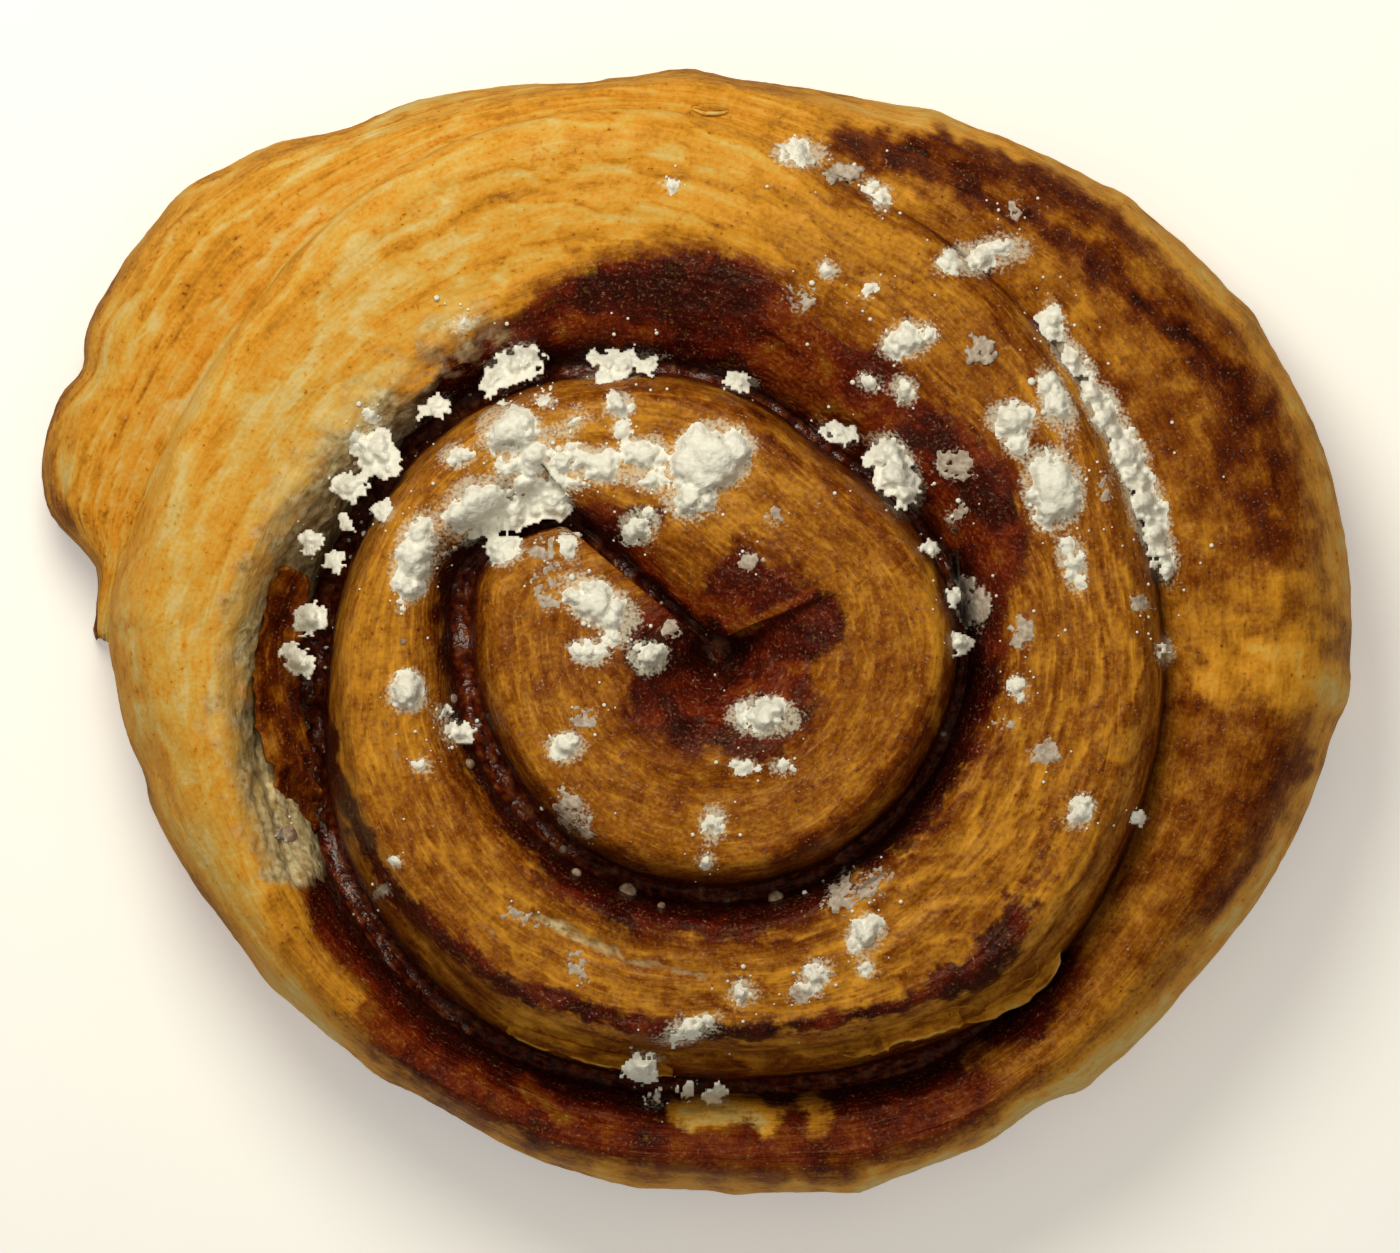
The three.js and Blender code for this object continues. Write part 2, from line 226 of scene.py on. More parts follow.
def stripPlace(angle, distance):
    inner, outer = innerEdge(np.asarray(angle)), outerEdge(np.asarray(angle))
    across = outer - inner
    return inner + across * (np.asarray(distance) / np.linalg.norm(across, axis=-1))[..., None]


def archRise(share, roundness):
    return (1 - (1 - np.clip(share, 0, 1)) ** roundness) ** (1 / roundness)


def slopeRise(share, roundness, terrace):
    lower = archRise(share / 0.5, roundness) * 0.5
    upper = archRise((share - 0.5) / 0.5, roundness) * 0.5
    return mix(archRise(share, roundness), lower + upper, terrace)


def sections(angle):
    inner, outer = innerEdge(angle), outerEdge(angle)
    width = np.linalg.norm(outer - inner, axis=-1)
    rise = np.minimum(curve(innerSlope, angle), strip["innerSlopeShare"] * width)
    crown = curve(crownHeight, angle)
    groove = curve(grooveLevel, angle - 360) + strip["lipHeight"]
    lip = curve(grooveLevel, angle) + strip["lipHeight"]
    return {
        "inner": inner, "outer": outer, "width": width, "crown": crown, "innerSlope": rise,
        "outerSlope": np.minimum(curve(outerSlope, angle), width - rise),
        "innerLevel": np.where(angle < strip["crackMeets"], curve(hollowLevel, angle), groove),
        "outerLevel": np.where(angle < strip["outlineStarts"], lip, crown * strip["widestLevel"]),
        "innerTerrace": curve(innerTerrace, angle), "outerTerrace": curve(outerTerrace, angle),
    }


def topHeight(section, distance):
    at = {key: value[:, None] for key, value in section.items() if value.ndim == 1}
    innerRise = slopeRise(distance / at["innerSlope"], strip["innerRoundness"], at["innerTerrace"])
    outerShare = (at["width"] - distance) / at["outerSlope"]
    outerRise = slopeRise(outerShare, strip["outerRoundness"], at["outerTerrace"])
    fromInner = (at["crown"] - at["innerLevel"]) * (1 - innerRise)
    return at["crown"] - fromInner - (at["crown"] - at["outerLevel"]) * (1 - outerRise)


# The crust. Its rings run up the inner wall, over the top, down the outer wall and back below,
# with these numbers of points. Points on the base count as "below" mm down the wall. Bands run
# from where a change starts to where it ends, and patterns are as in patches.
crust = {
    "samples": 500, "innerWall": 6, "top": 74, "outerWall": 15, "base": 4, "below": 40,
    "stationSpacing": 0.905, "stationReach": 6, "lastStation": 0.4, "weld": 0.002,
    "endRounding": 0.45, "tornEnd": 0.8, "endTurns": (30, 60, 90), "tornPlain": 0.4,
    "tornRagged": 1.2, "tornSize": (1.7, 1.5), "lanes": 20.0, "flakes": 0.06, "flakeLanes": 1.9,
    "flakeRise": (0.6, 0.75, 0.5), "sheets": 0.1, "sheetLanes": 3.6, "sheetFall": (0.86, 0.2),
    # "edges" scales the painted shade and highlight at layer steps, "paleEdge" is the band of painted shade
    # at a step's foot, and "clearerWherePale" strengthens both on pale crust.
    "edges": 0.55, "paleEdge": (0.15, 0), "clearerWherePale": (1.6, 1), "swell": (0.5, 9, 21, 3),
    "grit": (0.16, 1.1, 51, 3), "fuzz": (0.7, 1.0, 93, 3), "smearedLumps": (0.14, 1.6, 91, 3),
    "smearedCalm": 0.35, "grooveCalm": 0.6, "calmBand": (0.1, 1.4), "freeAbove": (0.4, 3),
    "freeWithin": (3.5, 0.5), "bumpAbove": (0, 4),
}
# Waves of the layers: how far each sways, its length along the strip in mm and across it in lanes,
# its seed, and its octaves. A lane is a share of the strip's width, and 1 mm down the outer wall.
laneWaves = {
    "wander": (1.1, 18, 8, 3, 3), "waver": (0.2, 6, 2.5, 5, 3), "flake": (1.2, 6, 3, 11, 3),
    "sheet": (1.8, 13, 6, 13, 3), "strand": (0.28, 24, 2.9, 31, 1), "layer": (0.1, 7, 0.9, 41, 1),
}
# Painted shade and highlight at each layer's step: how much darker the crust is at the step's foot,
# how much lighter it grows towards the raised edge, and where that lightening starts, is full and ends.
paintedLayerEdges = {"sheet": (0.2, 0.2, 0.55, 0.85, 0.9), "flake": (0.12, 0.1, 0.4, 0.7, 0.85)}


def stationAngles():
    angles, angle = [], float(strip["start"])
    while angle < strip["end"] - crust["lastStation"]:
        angles.append(angle)
        reach = float(curve(edgeRadius, angle)) + crust["stationReach"]
        angle += math.degrees(crust["stationSpacing"] / reach)
    return np.array(angles + [float(strip["end"])])


def crustRings(angle):
    section = sections(angle)
    width = section["width"][:, None]
    share = 0.5 - 0.5 * np.cos(np.pi * np.linspace(0, 1, crust["samples"]))
    distance = share * width
    height = topHeight(section, distance)
    step = np.hypot(np.diff(distance, axis=1), np.diff(height, axis=1))
    run = np.concatenate([np.zeros((len(angle), 1)), np.cumsum(step, axis=1)], axis=1)
    top = np.array([np.interp(np.linspace(0, r[-1], crust["top"]), r, d) for r, d in zip(run, distance)])
    topLevel = topHeight(section, top)
    up = np.arange(crust["innerWall"]) / crust["innerWall"]
    down = np.arange(1, crust["outerWall"] + 1) / crust["outerWall"]
    back = np.arange(1, crust["base"]) / crust["base"]
    bare = smooth(strip["wallBareFrom"], strip["wallBareTo"], angle)[:, None]
    inset = np.minimum(strip["baseInset"], strip["insetShare"] * width) * bare
    wall = width - inset * down ** strip["wallRoundness"]
    base = wall[:, -1:] * (1 - back)
    innerLevel, outerLevel = topLevel[:, :1], topLevel[:, -1:]
    below = 0 * base + crust["below"]
    across = np.concatenate([innerLevel * up * 0, top, wall, base], axis=1)
    level = np.concatenate([innerLevel * up, topLevel, outerLevel * (1 - down), 0 * base], axis=1)
    drop = np.concatenate([innerLevel * up * 0, 0 * top, outerLevel * down, below], axis=1)
    hidden = np.concatenate([innerLevel * (1 - up), 0 * top, 0 * wall, below], axis=1)
    unit = (section["outer"] - section["inner"]) / width
    flat = section["inner"][:, None] + unit[:, None] * across[..., None]
    return section, np.concatenate([flat, level[..., None]], axis=-1), across, drop, hidden


def laneWave(name, along, lane):
    size, length, lanes, seed, octaves = laneWaves[name]
    return size * fractal(along / length, lane / lanes, 0.0, seed, octaves)


def phaseOf(value):
    return value - np.floor(value)


def paintedEdgeShading(phase, pale, dark, start, full, end):
    # The first share darkens the crust at a step's foot as painted shade; the second lightens it towards the
    # raised edge as painted highlight.
    dark = dark * smooth(start, full, phase) * smooth(1, end, phase)
    return pale * smooth(*crust["paleEdge"], phase) - dark


def relief(angle, place, across, drop, width):
    spot = [place[..., i] for i in range(3)]
    along = np.cumsum(np.gradient(np.radians(angle)) * curve(edgeRadius, angle))[:, None]
    lane = across / width[:, None] * crust["lanes"] + drop
    lane = lane + laneWave("wander", along, lane) + laneWave("waver", along, lane)
    bend, loose = [curve(table, angle)[:, None] for table in (strandFlake, strandLoose)]
    flake = phaseOf(lane / crust["flakeLanes"] + laneWave("flake", along, lane))
    sheet = phaseOf(lane / crust["sheetLanes"] + laneWave("sheet", along, lane))
    rise = patches(crust["swell"], *spot)
    rise = rise + laneWave("strand", along, lane) + laneWave("layer", along, lane)
    up, down, middle = crust["flakeRise"]
    standing = smooth(0, up, flake) - smooth(down, 1, flake) - middle
    rise = rise + crust["flakes"] * standing * bend
    down, middle = crust["sheetFall"]
    rise = rise + crust["sheets"] * loose * (sheet * sheet - smooth(down, 1, sheet) - middle)
    rise = rise + patches(crust["grit"], *spot)
    # Painted shade at the foot of each sheet and flake, and painted highlight along its raised edge, added to
    # the browning.
    edges = loose * paintedEdgeShading(sheet, *paintedLayerEdges["sheet"]) + bend * paintedEdgeShading(flake, *paintedLayerEdges["flake"])
    return rise, edges, along, lane


# How far the layers stand off as flakes: 0 lies smooth.
strandFlake = [
    (142, 0.4), (480, 0.5), (560, 0.7), (640, 0.9), (655, 1.2), (720, 1.2), (745, 0.8), (800, 0.6),
    (820, 0.3), (900, 0.2), (930, 0.2), (1030, 0.3), (1160, 0.3), (1200, 0.3), (1258, 0.4),
]

# How much the wide strands overlap as thin sheets.
strandLoose = [
    (142, 0.5), (500, 0.7), (640, 1.2), (720, 1.2), (790, 0.9), (810, 0.8), (930, 0.5), (945, 0.3),
    (1030, 0.3), (1150, 0.4), (1165, 0.6), (1200, 0.8), (1258, 0.9),
]
# How far the streaks run across the strip and not along it.
streakAcross = [
    (142, 0), (830, 0), (860, 0.15), (915, 0.15), (930, 0.1), (1030, 0.15), (1050, 0.3), (1155, 0.3),
    (1175, 0.1), (1258, 0.1),
]

# Browning of the crust, 0 cream to 1 near black, next to the inner edge, midway, and at the lip.
bakeInner = [
    (142, 0.6), (200, 0.62), (300, 0.6), (440, 0.6), (470, 0.6), (500, 0.5), (570, 0.56), (700, 0.56),
    (770, 0.6), (800, 0.6), (815, 0.5), (840, 0.3), (870, 0.1), (925, 0.08), (940, 0.4),
    (1000, 0.58), (1060, 0.6), (1150, 0.6), (1165, 0.45), (1185, 0.26), (1240, 0.22), (1258, 0.2),
]
bakeMiddle = [
    (142, 0.57), (200, 0.57), (400, 0.57), (440, 0.51), (470, 0.51), (500, 0.47), (540, 0.45),
    (570, 0.54), (600, 0.56), (640, 0.54), (700, 0.55), (740, 0.6), (770, 0.62), (800, 0.4),
    (815, 0.24), (840, 0.2), (870, 0.18), (900, 0.18), (940, 0.25), (960, 0.38), (1000, 0.46),
    (1020, 0.46), (1040, 0.54), (1060, 0.62), (1085, 0.57), (1100, 0.59), (1130, 0.55),
    (1150, 0.48), (1165, 0.36), (1185, 0.3), (1215, 0.3), (1240, 0.24), (1258, 0.2),
]
bakeLip = [
    (142, 0.62), (165, 0.7), (200, 0.72), (400, 0.7), (470, 0.66), (500, 0.55), (540, 0.48),
    (570, 0.64), (600, 0.68), (640, 0.68), (700, 0.62), (740, 0.6), (770, 0.62), (800, 0.5),
    (815, 0.3), (840, 0.24), (900, 0.26), (925, 0.42), (960, 0.58), (1000, 0.5), (1020, 0.42),
    (1040, 0.38), (1060, 0.44), (1085, 0.46), (1100, 0.6), (1130, 0.56), (1165, 0.45),
    (1185, 0.36), (1215, 0.32), (1240, 0.4), (1252, 0.4), (1258, 0.22),
]

# How far the filling is smeared up the inner slope, in mm.
stainWidth = [
    (142, 6), (175, 7), (200, 7.5), (215, 9), (240, 8), (262, 8.2), (280, 9), (300, 10), (320, 9.5),
    (335, 8.3), (348, 8.5), (360, 10), (378, 11), (384, 10.5), (396, 8.7), (410, 8.3), (425, 7.6),
    (440, 7), (447, 2), (462, 2.4), (475, 4), (485, 2.4), (495, 2), (505, 1.5), (520, 1), (530, 1.2),
    (540, 1.4), (550, 1.3), (560, 1.3), (570, 1.5), (585, 2), (600, 3), (615, 3.6), (630, 3.2),
    (640, 3), (650, 2.2), (660, 1.6), (670, 1.6), (680, 2.4), (690, 1.8), (700, 2.3), (720, 3.2),
    (730, 4.5), (735, 6), (740, 7.5), (750, 9), (760, 8.6), (770, 8.2), (780, 9.3), (790, 8.8),
    (800, 9.5), (810, 10.4), (820, 9.6), (830, 8), (840, 5.6), (850, 4.2), (856, 3.2), (862, 2.2),
    (870, 1.8), (890, 1), (900, 0.2), (926, 0.2), (932, 3.2), (940, 4.8), (955, 5.8), (965, 6),
    (975, 6.5), (990, 6.8), (1000, 6.8), (1010, 6.4), (1018, 6.6), (1022, 5.4), (1030, 4),
    (1036, 2.5), (1042, 0.3), (1050, -1), (1258, -1),
]

# Strokes over the crust: layer, value, strength, half width in mm, then the angles and
# distances that the stroke runs through. Splits: depth and half width in mm, then the same.
# Bumps of the outline: angle, height in mm and spread in degrees.
strokes = [
    ("tone", 0.62, 0.8, 1.1, [(236, 4.4), (260, 4.8)]),
    ("tone", 0.85, 0.7, 0.9, [(290, 3.2), (308, 3.4)]),
    ("tone", 0.85, 0.7, 0.6, [(342, 5), (346, 9)]),
    ("tone", 0.85, 0.9, 1.5, [(400, 2.2), (436, 2.6)]),
    ("tone", 0.3, 1, 2.2, [(402, 6), (434, 5.6)]),
    ("tone", 1, 0.7, 0.5, [(386, 3), (389, 9)]),
    ("bake", 0.6, 0.7, 1.8, [(446, 4.5), (460, 5)]),
    ("tone", 0.75, 0.8, 1.2, [(446, 1.4), (470, 2)]),
    ("stain", 0.9, 0.9, 0.9, [(462, 6.2), (474, 4.4), (488, 1.6)]),
    ("bake", 0.72, 0.8, 0.7, [(196, 19.8), (215, 20), (250, 19.8)]),
    ("bake", 0.78, 0.9, 0.9, [(286, 18.8), (300, 18.4), (318, 18.4), (345, 19.2)]),
    ("bake", 0.36, 0.7, 0.5, [(340, 20.2), (380, 19.8)]),
    ("bake", 0.74, 0.8, 0.8, [(380, 18.3), (410, 17.4), (440, 19)]),
    ("bake", 0.76, 0.8, 0.8, [(440, 20.4), (465, 17.5), (490, 13)]),
    ("bake", 0.84, 0.9, 0.7, [(335, 18.5)]),
    ("bake", 0.74, 0.8, 0.5, [(263, 11.7)]),
    ("bake", 0.78, 0.8, 0.6, [(320, 10)]),
    ("bake", 0.8, 0.8, 0.5, [(435, 18.7)]),
    ("stain", 0.95, 1, 1, [(549, 12.9), (560, 13), (575, 13.2), (590, 12.8), (600, 12.5), (620, 11.8)]),
    ("stain", 0.95, 1, 0.9, [(620, 11.8), (635, 12), (645, 12.2), (655, 13.4), (664, 14.4)]),
    ("stain", 1, 1, 1.7, [(664, 14.6), (671, 14.8), (680, 13.6)]),
    ("stain", 0.6, 0.8, 0.8, [(680, 13.4), (694, 12.6)]),
    ("bake", 0.3, 0.7, 0.7, [(600, 14.7), (612, 14.9)]),
    ("bake", 0.74, 0.8, 0.35, [(622, 7.4), (622, 9.4)]),
    ("crumb", 0.8, 1, 0.6, [(597, 5.7), (605, 5.8), (612, 5.8)]),
    ("crumb", 0.5, 1, 0.4, [(612, 6.3), (628, 6.7)]),
    ("crumb", 0.5, 0.8, 0.4, [(553, 7), (560, 7)]),
    ("crumb", 0.5, 0.8, 0.4, [(588, 9.5), (592, 9.5)]),
    ("tone", 0.82, 0.9, 1.8, [(774, 2.8), (798, 2.8)]),
    ("tone", 0.05, 1, 2.6, [(808, 7.5), (828, 6.5)]),
    ("tone", 0.05, 0.9, 2.2, [(746, 6), (764, 6)]),
    ("tone", 0.78, 0.8, 1.2, [(745, 1.4), (798, 1.4)]),
    ("tone", 0.62, 0.8, 1.1, [(820, 2.6), (836, 2.6)]),
    ("stain", 0, 1, 2.1, [(931, 5.8), (944, 5.6)]),
    ("bake", 0.42, 1, 2.1, [(931, 5.8), (944, 5.6)]),
    ("tone", 0.95, 0.8, 0.8, [(966, 1.4), (972, 3.8)]),
    ("stain", 0.1, 0.95, 1.8, [(986, 1.9), (992, 1.2), (996, 2)]),
    ("bake", 0.3, 1, 2, [(985, 2.2), (996, 2)]),
    ("bake", 0.04, 0.9, 1.3, [(986, 2.6), (990, 1.4), (994, 2.4)]),
    ("stain", 0.2, 0.9, 1.5, [(1002, 0.8), (1002, 3.6)]),
    ("bake", 0.48, 1, 1.8, [(1002, 0.8), (1002, 3.8)]),
    ("stain", 0.25, 0.9, 1.8, [(1023, 2), (1027, 5)]),
    ("bake", 0.58, 1, 2.4, [(1023, 2), (1027, 5)]),
    ("bake", 0.36, 0.7, 2.2, [(1040, 7), (1046, 9)]),
    ("bake", 0.74, 0.6, 2.4, [(1054, 8), (1062, 11), (1069, 13)]),
    ("bake", 0.46, 0.95, 4.6, [(1083, 4), (1082, 11), (1079, 16)]),
    ("bake", 0.26, 0.8, 2.3, [(1077, 4.5), (1078, 10), (1075, 16)]),
    ("bake", 0.12, 0.6, 1, [(1080, 9), (1078, 14), (1076, 17)]),
    ("bake", 0.3, 0.6, 0.8, [(1084, 5), (1083, 9)]),
    ("bake", 0.78, 0.8, 3, [(1092, 12), (1104, 13)]),
    ("bake", 0.9, 0.9, 1.6, [(1104, 14), (1116, 10.6), (1134, 8.2), (1148, 5.6), (1156, 4)]),
    ("bake", 0.84, 0.8, 1.2, [(1124, 12), (1134, 10.6), (1146, 8)]),
    ("bake", 0.5, 0.7, 1.1, [(1122, 5), (1134, 4.4), (1150, 2.6)]),
    ("bake", 0.52, 0.6, 0.9, [(1112, 13.4), (1122, 10.6)]),
    ("bake", 0.48, 0.7, 0.8, [(1128, 9.8), (1140, 7.4)]),
    ("crumb", 0.5, 0.9, 3.4, [(846, 4.5), (858, 4.5), (870, 5), (885, 5.4), (905, 5.6), (922, 4.6)]),
    ("crumb", 0.8, 1, 2.4, [(864, 2.6), (880, 2.6), (900, 3)]),
    ("crumb", 1, 1, 2.2, [(876, 1.8), (886, 1.6), (898, 2.2)]),
    ("crumb", 0.9, 1, 2.8, [(900, 3), (916, 2.8), (926, 2)]),
    ("bake", 0.3, 0.8, 0.5, [(838, 6.6), (848, 5.2), (858, 3.2), (866, 2.4)]),
    ("bake", 0.42, 0.7, 0.6, [(788, 16.6), (815, 17.8), (835, 16.6), (850, 15)]),
    ("bake", 0.4, 0.6, 0.5, [(800, 13.6), (822, 12.4), (842, 11), (856, 10)]),
    ("bake", 0.38, 0.6, 0.9, [(858, 17), (872, 16), (884, 13)]),
    ("bake", 0.02, 0.7, 0.8, [(842, 14.2), (858, 12.8), (872, 10.4)]),
    ("bake", 0.02, 0.6, 0.7, [(880, 16), (896, 12), (908, 9.6)]),
    ("bake", 0.42, 0.6, 0.7, [(1172, 6), (1190, 8), (1210, 9)]),
    ("bake", 0.06, 0.6, 0.6, [(1180, 5), (1200, 6.4), (1220, 8), (1236, 8)]),
    ("bake", 0.08, 0.6, 0.5, [(1196, 2.4), (1216, 3), (1234, 3)]),
    ("bake", 0.62, 0.7, 0.5, [(1226, 13.6), (1238, 12.6), (1244, 10.6), (1249, 6)]),
    ("bake", 0.3, 0.8, 1.4, [(1168, 8), (1160, 10)]),
    ("bake", 0.42, 0.8, 1.3, [(1146, 1.8), (1152, 1.8), (1158, 1.6)]),
    ("bake", 0.4, 0.6, 0.7, [(812, 22), (826, 20.6)]),
    ("bake", 0.4, 0.7, 1, [(900, 17), (904, 15)]),
    ("bake", 0.4, 0.6, 0.5, [(1205, 5), (1222, 5.8), (1245, 5.4)]),
    ("bake", 0.5, 0.7, 0.7, [(1243, 11), (1249, 7)]),
]
splits = [
    (0.8, 0.5, [(597, 5.7), (605, 5.8), (612, 5.8)]), (0.6, 0.3, [(612, 6.3), (628, 6.7)]),
    (0.9, 0.28, [(661, 2.7), (669, 2.9)]), (0.9, 0.26, [(668, 6.8), (677, 6.9)]),
    (0.5, 0.28, [(553, 7), (560, 7)]), (0.5, 0.3, [(588, 9.5), (592, 9.5)]),
    (0.7, 0.9, [(846, 4.4), (858, 4.4)]), (1, 1.4, [(904, 2.6), (916, 3.6)]),
    (0.35, 0.3, [(896, 10), (901, 12)]), (0.35, 0.5, [(620, 2.6)]),
]
outlineBumps = [
    (912, -0.6, 3), (937, 0.3, 3), (952, 0.4, 3), (975, -0.4, 4), (992, 0.4, 2), (1005, 0.6, 3),
    (1025, -0.7, 4), (1030, 0.4, 2), (1076, 0.6, 2.4), (1112, 0.4, 2), (1128, 0.5, 2),
    (1148, 0.4, 2), (1173, 0.7, 3.4), (1184, -0.3, 3), (1206, -0.9, 4), (1219, 0.6, 3),
    (1236, -1.2, 2), (1259, -1.9, 2.2),
]
# Where the browning changes, from one winding angle to another. Over "lower" and "right" the rim and outer
# wall are paler, and over "toneWarms" and "toneLower" the filling is lighter, both partly painted light.
zones = {
    "outside": (890, 905), "lower": (928, 940), "beforeTail": (1165, 1150), "right": (1030, 1060),
    "grooved": (795, 780), "toneWarms": (690, 760), "toneLower": (900, 930),
    "blotchesStart": (1038, 1050), "blotchesEnd": (1157, 1145),
}
# Bands are in mm, but "inward" is a share of the strip's width.
browning = {
    # "rim", "rimLeft", "rimRight", "shoulderLower" and "wall" pale the lower rim and the outer wall, partly
    # as painted light.
    "inward": (0.05, 0.5), "lipBand": (1.9, 0.3), "rim": 0.85, "rimBand": (3, 1.4), "rimLeft": 0.02,
    "rimRight": 0.22, "shoulder": 0.24, "shoulderLower": 0.1, "shoulderBand": (0, 1.5), "wall": 0.12,
    "wallBand": (1, 6), "foot": 0.4, "footBand": (8, 3), "smearWaver": (1.5, 2.4, 61, 3),
    "smearFringe": (0.6, 0.7, 67, 3), "smearBand": (-1.1, 1.3), "grooveBand": (0.7, 0.1),
    "halo": 0.7, "haloStrength": 0.75, "haloBand": (0.4, 3), "haloLeast": 0.5, "base": 0.6,
    # "toneOuter" and "toneLower" lighten the filling, partly as painted light.
    "cloud": (0.1, 6, 81, 3), "blotches": (0.24, 1.6, 83, 3), "toneInner": 0.24, "toneOuter": 0.46,
    "toneLower": 0.04, "toneCloud": (0.6, 3.2, 71, 3), "toneBand": (0.6, 3.4),
}
strokeShape = {"around": 30, "band": (0.4, 1.4), "ragged": 3, "patch": 0.7, "patchShare": 0.5}


def strokeMask(angle, flat, halfWidth, points, seed):
    track = stripPlace(*np.array(points, float).T)
    around = strokeShape["around"]
    rows = (angle > points[0][0] - around) & (angle < points[-1][0] + around)
    spot = flat[rows]
    near = np.full(spot.shape[:2], 1e3)
    for a, b in zip(track, np.concatenate([track[1:], track[-1:]])):
        line = b - a
        t = np.clip((spot - a) @ line / max(line @ line, 1e-9), 0, 1)
        near = np.minimum(near, np.linalg.norm(spot - a - t[..., None] * line, axis=-1))
    size = strokeShape["patch"] + strokeShape["patchShare"] * halfWidth
    ragged = (min(halfWidth, strokeShape["ragged"]), size, seed, 3)
    near = near + patches(ragged, spot[..., 0], spot[..., 1])
    mask = np.zeros(flat.shape[:2])
    mask[rows] = 1 - smooth(*(edge * halfWidth for edge in strokeShape["band"]), near)
    return mask


def paintCrust(angle, place, across, drop, width):
    x, y, z = [place[..., i] for i in range(3)]
    toLip = width[:, None] - across
    zone = {name: smooth(*ends, angle)[:, None] for name, ends in zones.items()}
    inner, middle, lip = [curve(t, angle)[:, None] for t in (bakeInner, bakeMiddle, bakeLip)]
    bake = mix(inner, middle, smooth(*browning["inward"], across / width[:, None]))
    bake = mix(bake, lip, smooth(*browning["lipBand"], toLip))
    # Paler rim and outer wall on the lower and right side: partly their own paler crust, partly painted light
    # against the shade they face.
    lower = zone["lower"] * zone["beforeTail"]
    rim = smooth(*browning["rimBand"], toLip) * (drop == 0)
    litRimBake = mix(browning["rimLeft"], browning["rimRight"], zone["right"])
    bake = mix(bake, litRimBake, browning["rim"] * rim * lower)
    shoulder = mix(browning["shoulder"], browning["shoulderLower"], lower)
    wall = mix(shoulder, browning["wall"], smooth(*browning["wallBand"], drop))
    wall = wall + browning["foot"] * smooth(*browning["footBand"], z)
    below = smooth(*browning["shoulderBand"], drop) * zone["outside"]
    bake = np.where(drop > 0, mix(bake, wall, below), bake)
    edge = across + (patches(browning["smearWaver"], x, y) + patches(browning["smearFringe"], x, y))
    reach = curve(stainWidth, angle)[:, None]
    stain = 1 - smooth(*browning["smearBand"], edge - reach)
    halo = (1 - smooth(*browning["haloBand"], edge - reach)) * (reach > browning["haloLeast"])
    bake = mix(bake, browning["halo"], browning["haloStrength"] * halo)
    stain = np.where((across == 0) & (drop == 0) & (reach > 0), 1, stain)
    stain = np.maximum(stain, zone["grooved"] * smooth(*browning["grooveBand"], toLip))
    # The filling is lighter further out and on the lower side: partly its own colour, partly painted light
    # against the shade there.
    tone = mix(browning["toneInner"], browning["toneOuter"], zone["toneWarms"])
    tone = tone + patches(browning["toneCloud"], x, y) + browning["toneLower"] * zone["toneLower"]
    layers = {"across": curve(streakAcross, angle)[:, None] + 0 * across, "bake": bake, "stain": stain,
              "tone": tone * smooth(*browning["toneBand"], across), "crumb": 0 * across}
    for i, (layer, value, strength, halfWidth, points) in enumerate(strokes):
        mask = strokeMask(angle, place[..., :2], halfWidth, points, 200 + i) * strength
        layers[layer] = mix(layers[layer], value, mask)
    blotches = zone["blotchesStart"] * zone["blotchesEnd"] * patches(browning["blotches"], x, y)
    bake = layers["bake"] + patches(browning["cloud"], x, y) + blotches
    onBase = z < 0.01
    layers["bake"] = np.where(onBase, browning["base"], bake)
    layers["stain"] = np.where(onBase, 0, layers["stain"])
    return layers


def pitCrust(angle, place, across):
    depth = np.zeros(across.shape)
    for i, (deep, halfWidth, points) in enumerate(splits):
        depth = depth + deep * strokeMask(angle, place[..., :2], halfWidth, points, 300 + i)
    bump = np.zeros(len(angle))
    for at, size, spread in outlineBumps:
        bump = bump + size * np.exp(-((angle - at) / spread) ** 2)
    return depth, bump


def closed(grid):
    return np.concatenate([grid, grid[:, :1]], axis=1)


def gridMesh(name, places, layers):
    rows, cols = places.shape[:2]
    bm = bmesh.new()
    bmesh.ops.create_grid(bm, x_segments=cols - 1, y_segments=rows - 1, size=1)
    mesh = bpy.data.meshes.new(name)
    bm.to_mesh(mesh)
    bm.free()
    flat = np.empty(len(mesh.vertices) * 3)
    mesh.vertices.foreach_get("co", flat)
    spot = (flat.reshape(-1, 3) + 1) / 2
    col = np.rint(spot[:, 0] * (cols - 1)).astype(int)
    row = np.rint(spot[:, 1] * (rows - 1)).astype(int)
    mesh.vertices.foreach_set("co", (places[row, col] * mm).ravel())
    for layer, values in layers.items():
        vector = values.ndim == 3
        data = mesh.attributes.new(layer, "FLOAT_VECTOR" if vector else "FLOAT", "POINT").data
        data.foreach_set("vector" if vector else "value", values[row, col].astype(np.float32).ravel())
    return mesh


def finishMesh(bm, mesh):
    bmesh.ops.recalc_face_normals(bm, faces=bm.faces)
    for face in bm.faces:
        face.smooth = True
    bm.to_mesh(mesh)
    bm.free()
    return mesh


def closeMesh(mesh):
    bm = bmesh.new()
    bm.from_mesh(mesh)
    bmesh.ops.remove_doubles(bm, verts=bm.verts, dist=crust["weld"] * mm)
    bmesh.ops.holes_fill(bm, edges=[edge for edge in bm.edges if edge.is_boundary], sides=0)
    return finishMesh(bm, mesh)


def thickenMesh(mesh, thickness):
    # Points left at level 0 are outside the sheet and go first.
    bm = bmesh.new()
    bm.from_mesh(mesh)
    bmesh.ops.delete(bm, geom=[v for v in bm.verts if v.co.z == 0], context="VERTS")
    bmesh.ops.delete(bm, geom=[v for v in bm.verts if not v.link_faces], context="VERTS")
    bmesh.ops.recalc_face_normals(bm, faces=bm.faces)
    bmesh.ops.solidify(bm, geom=bm.faces[:], thickness=thickness * mm)
    return finishMesh(bm, mesh)


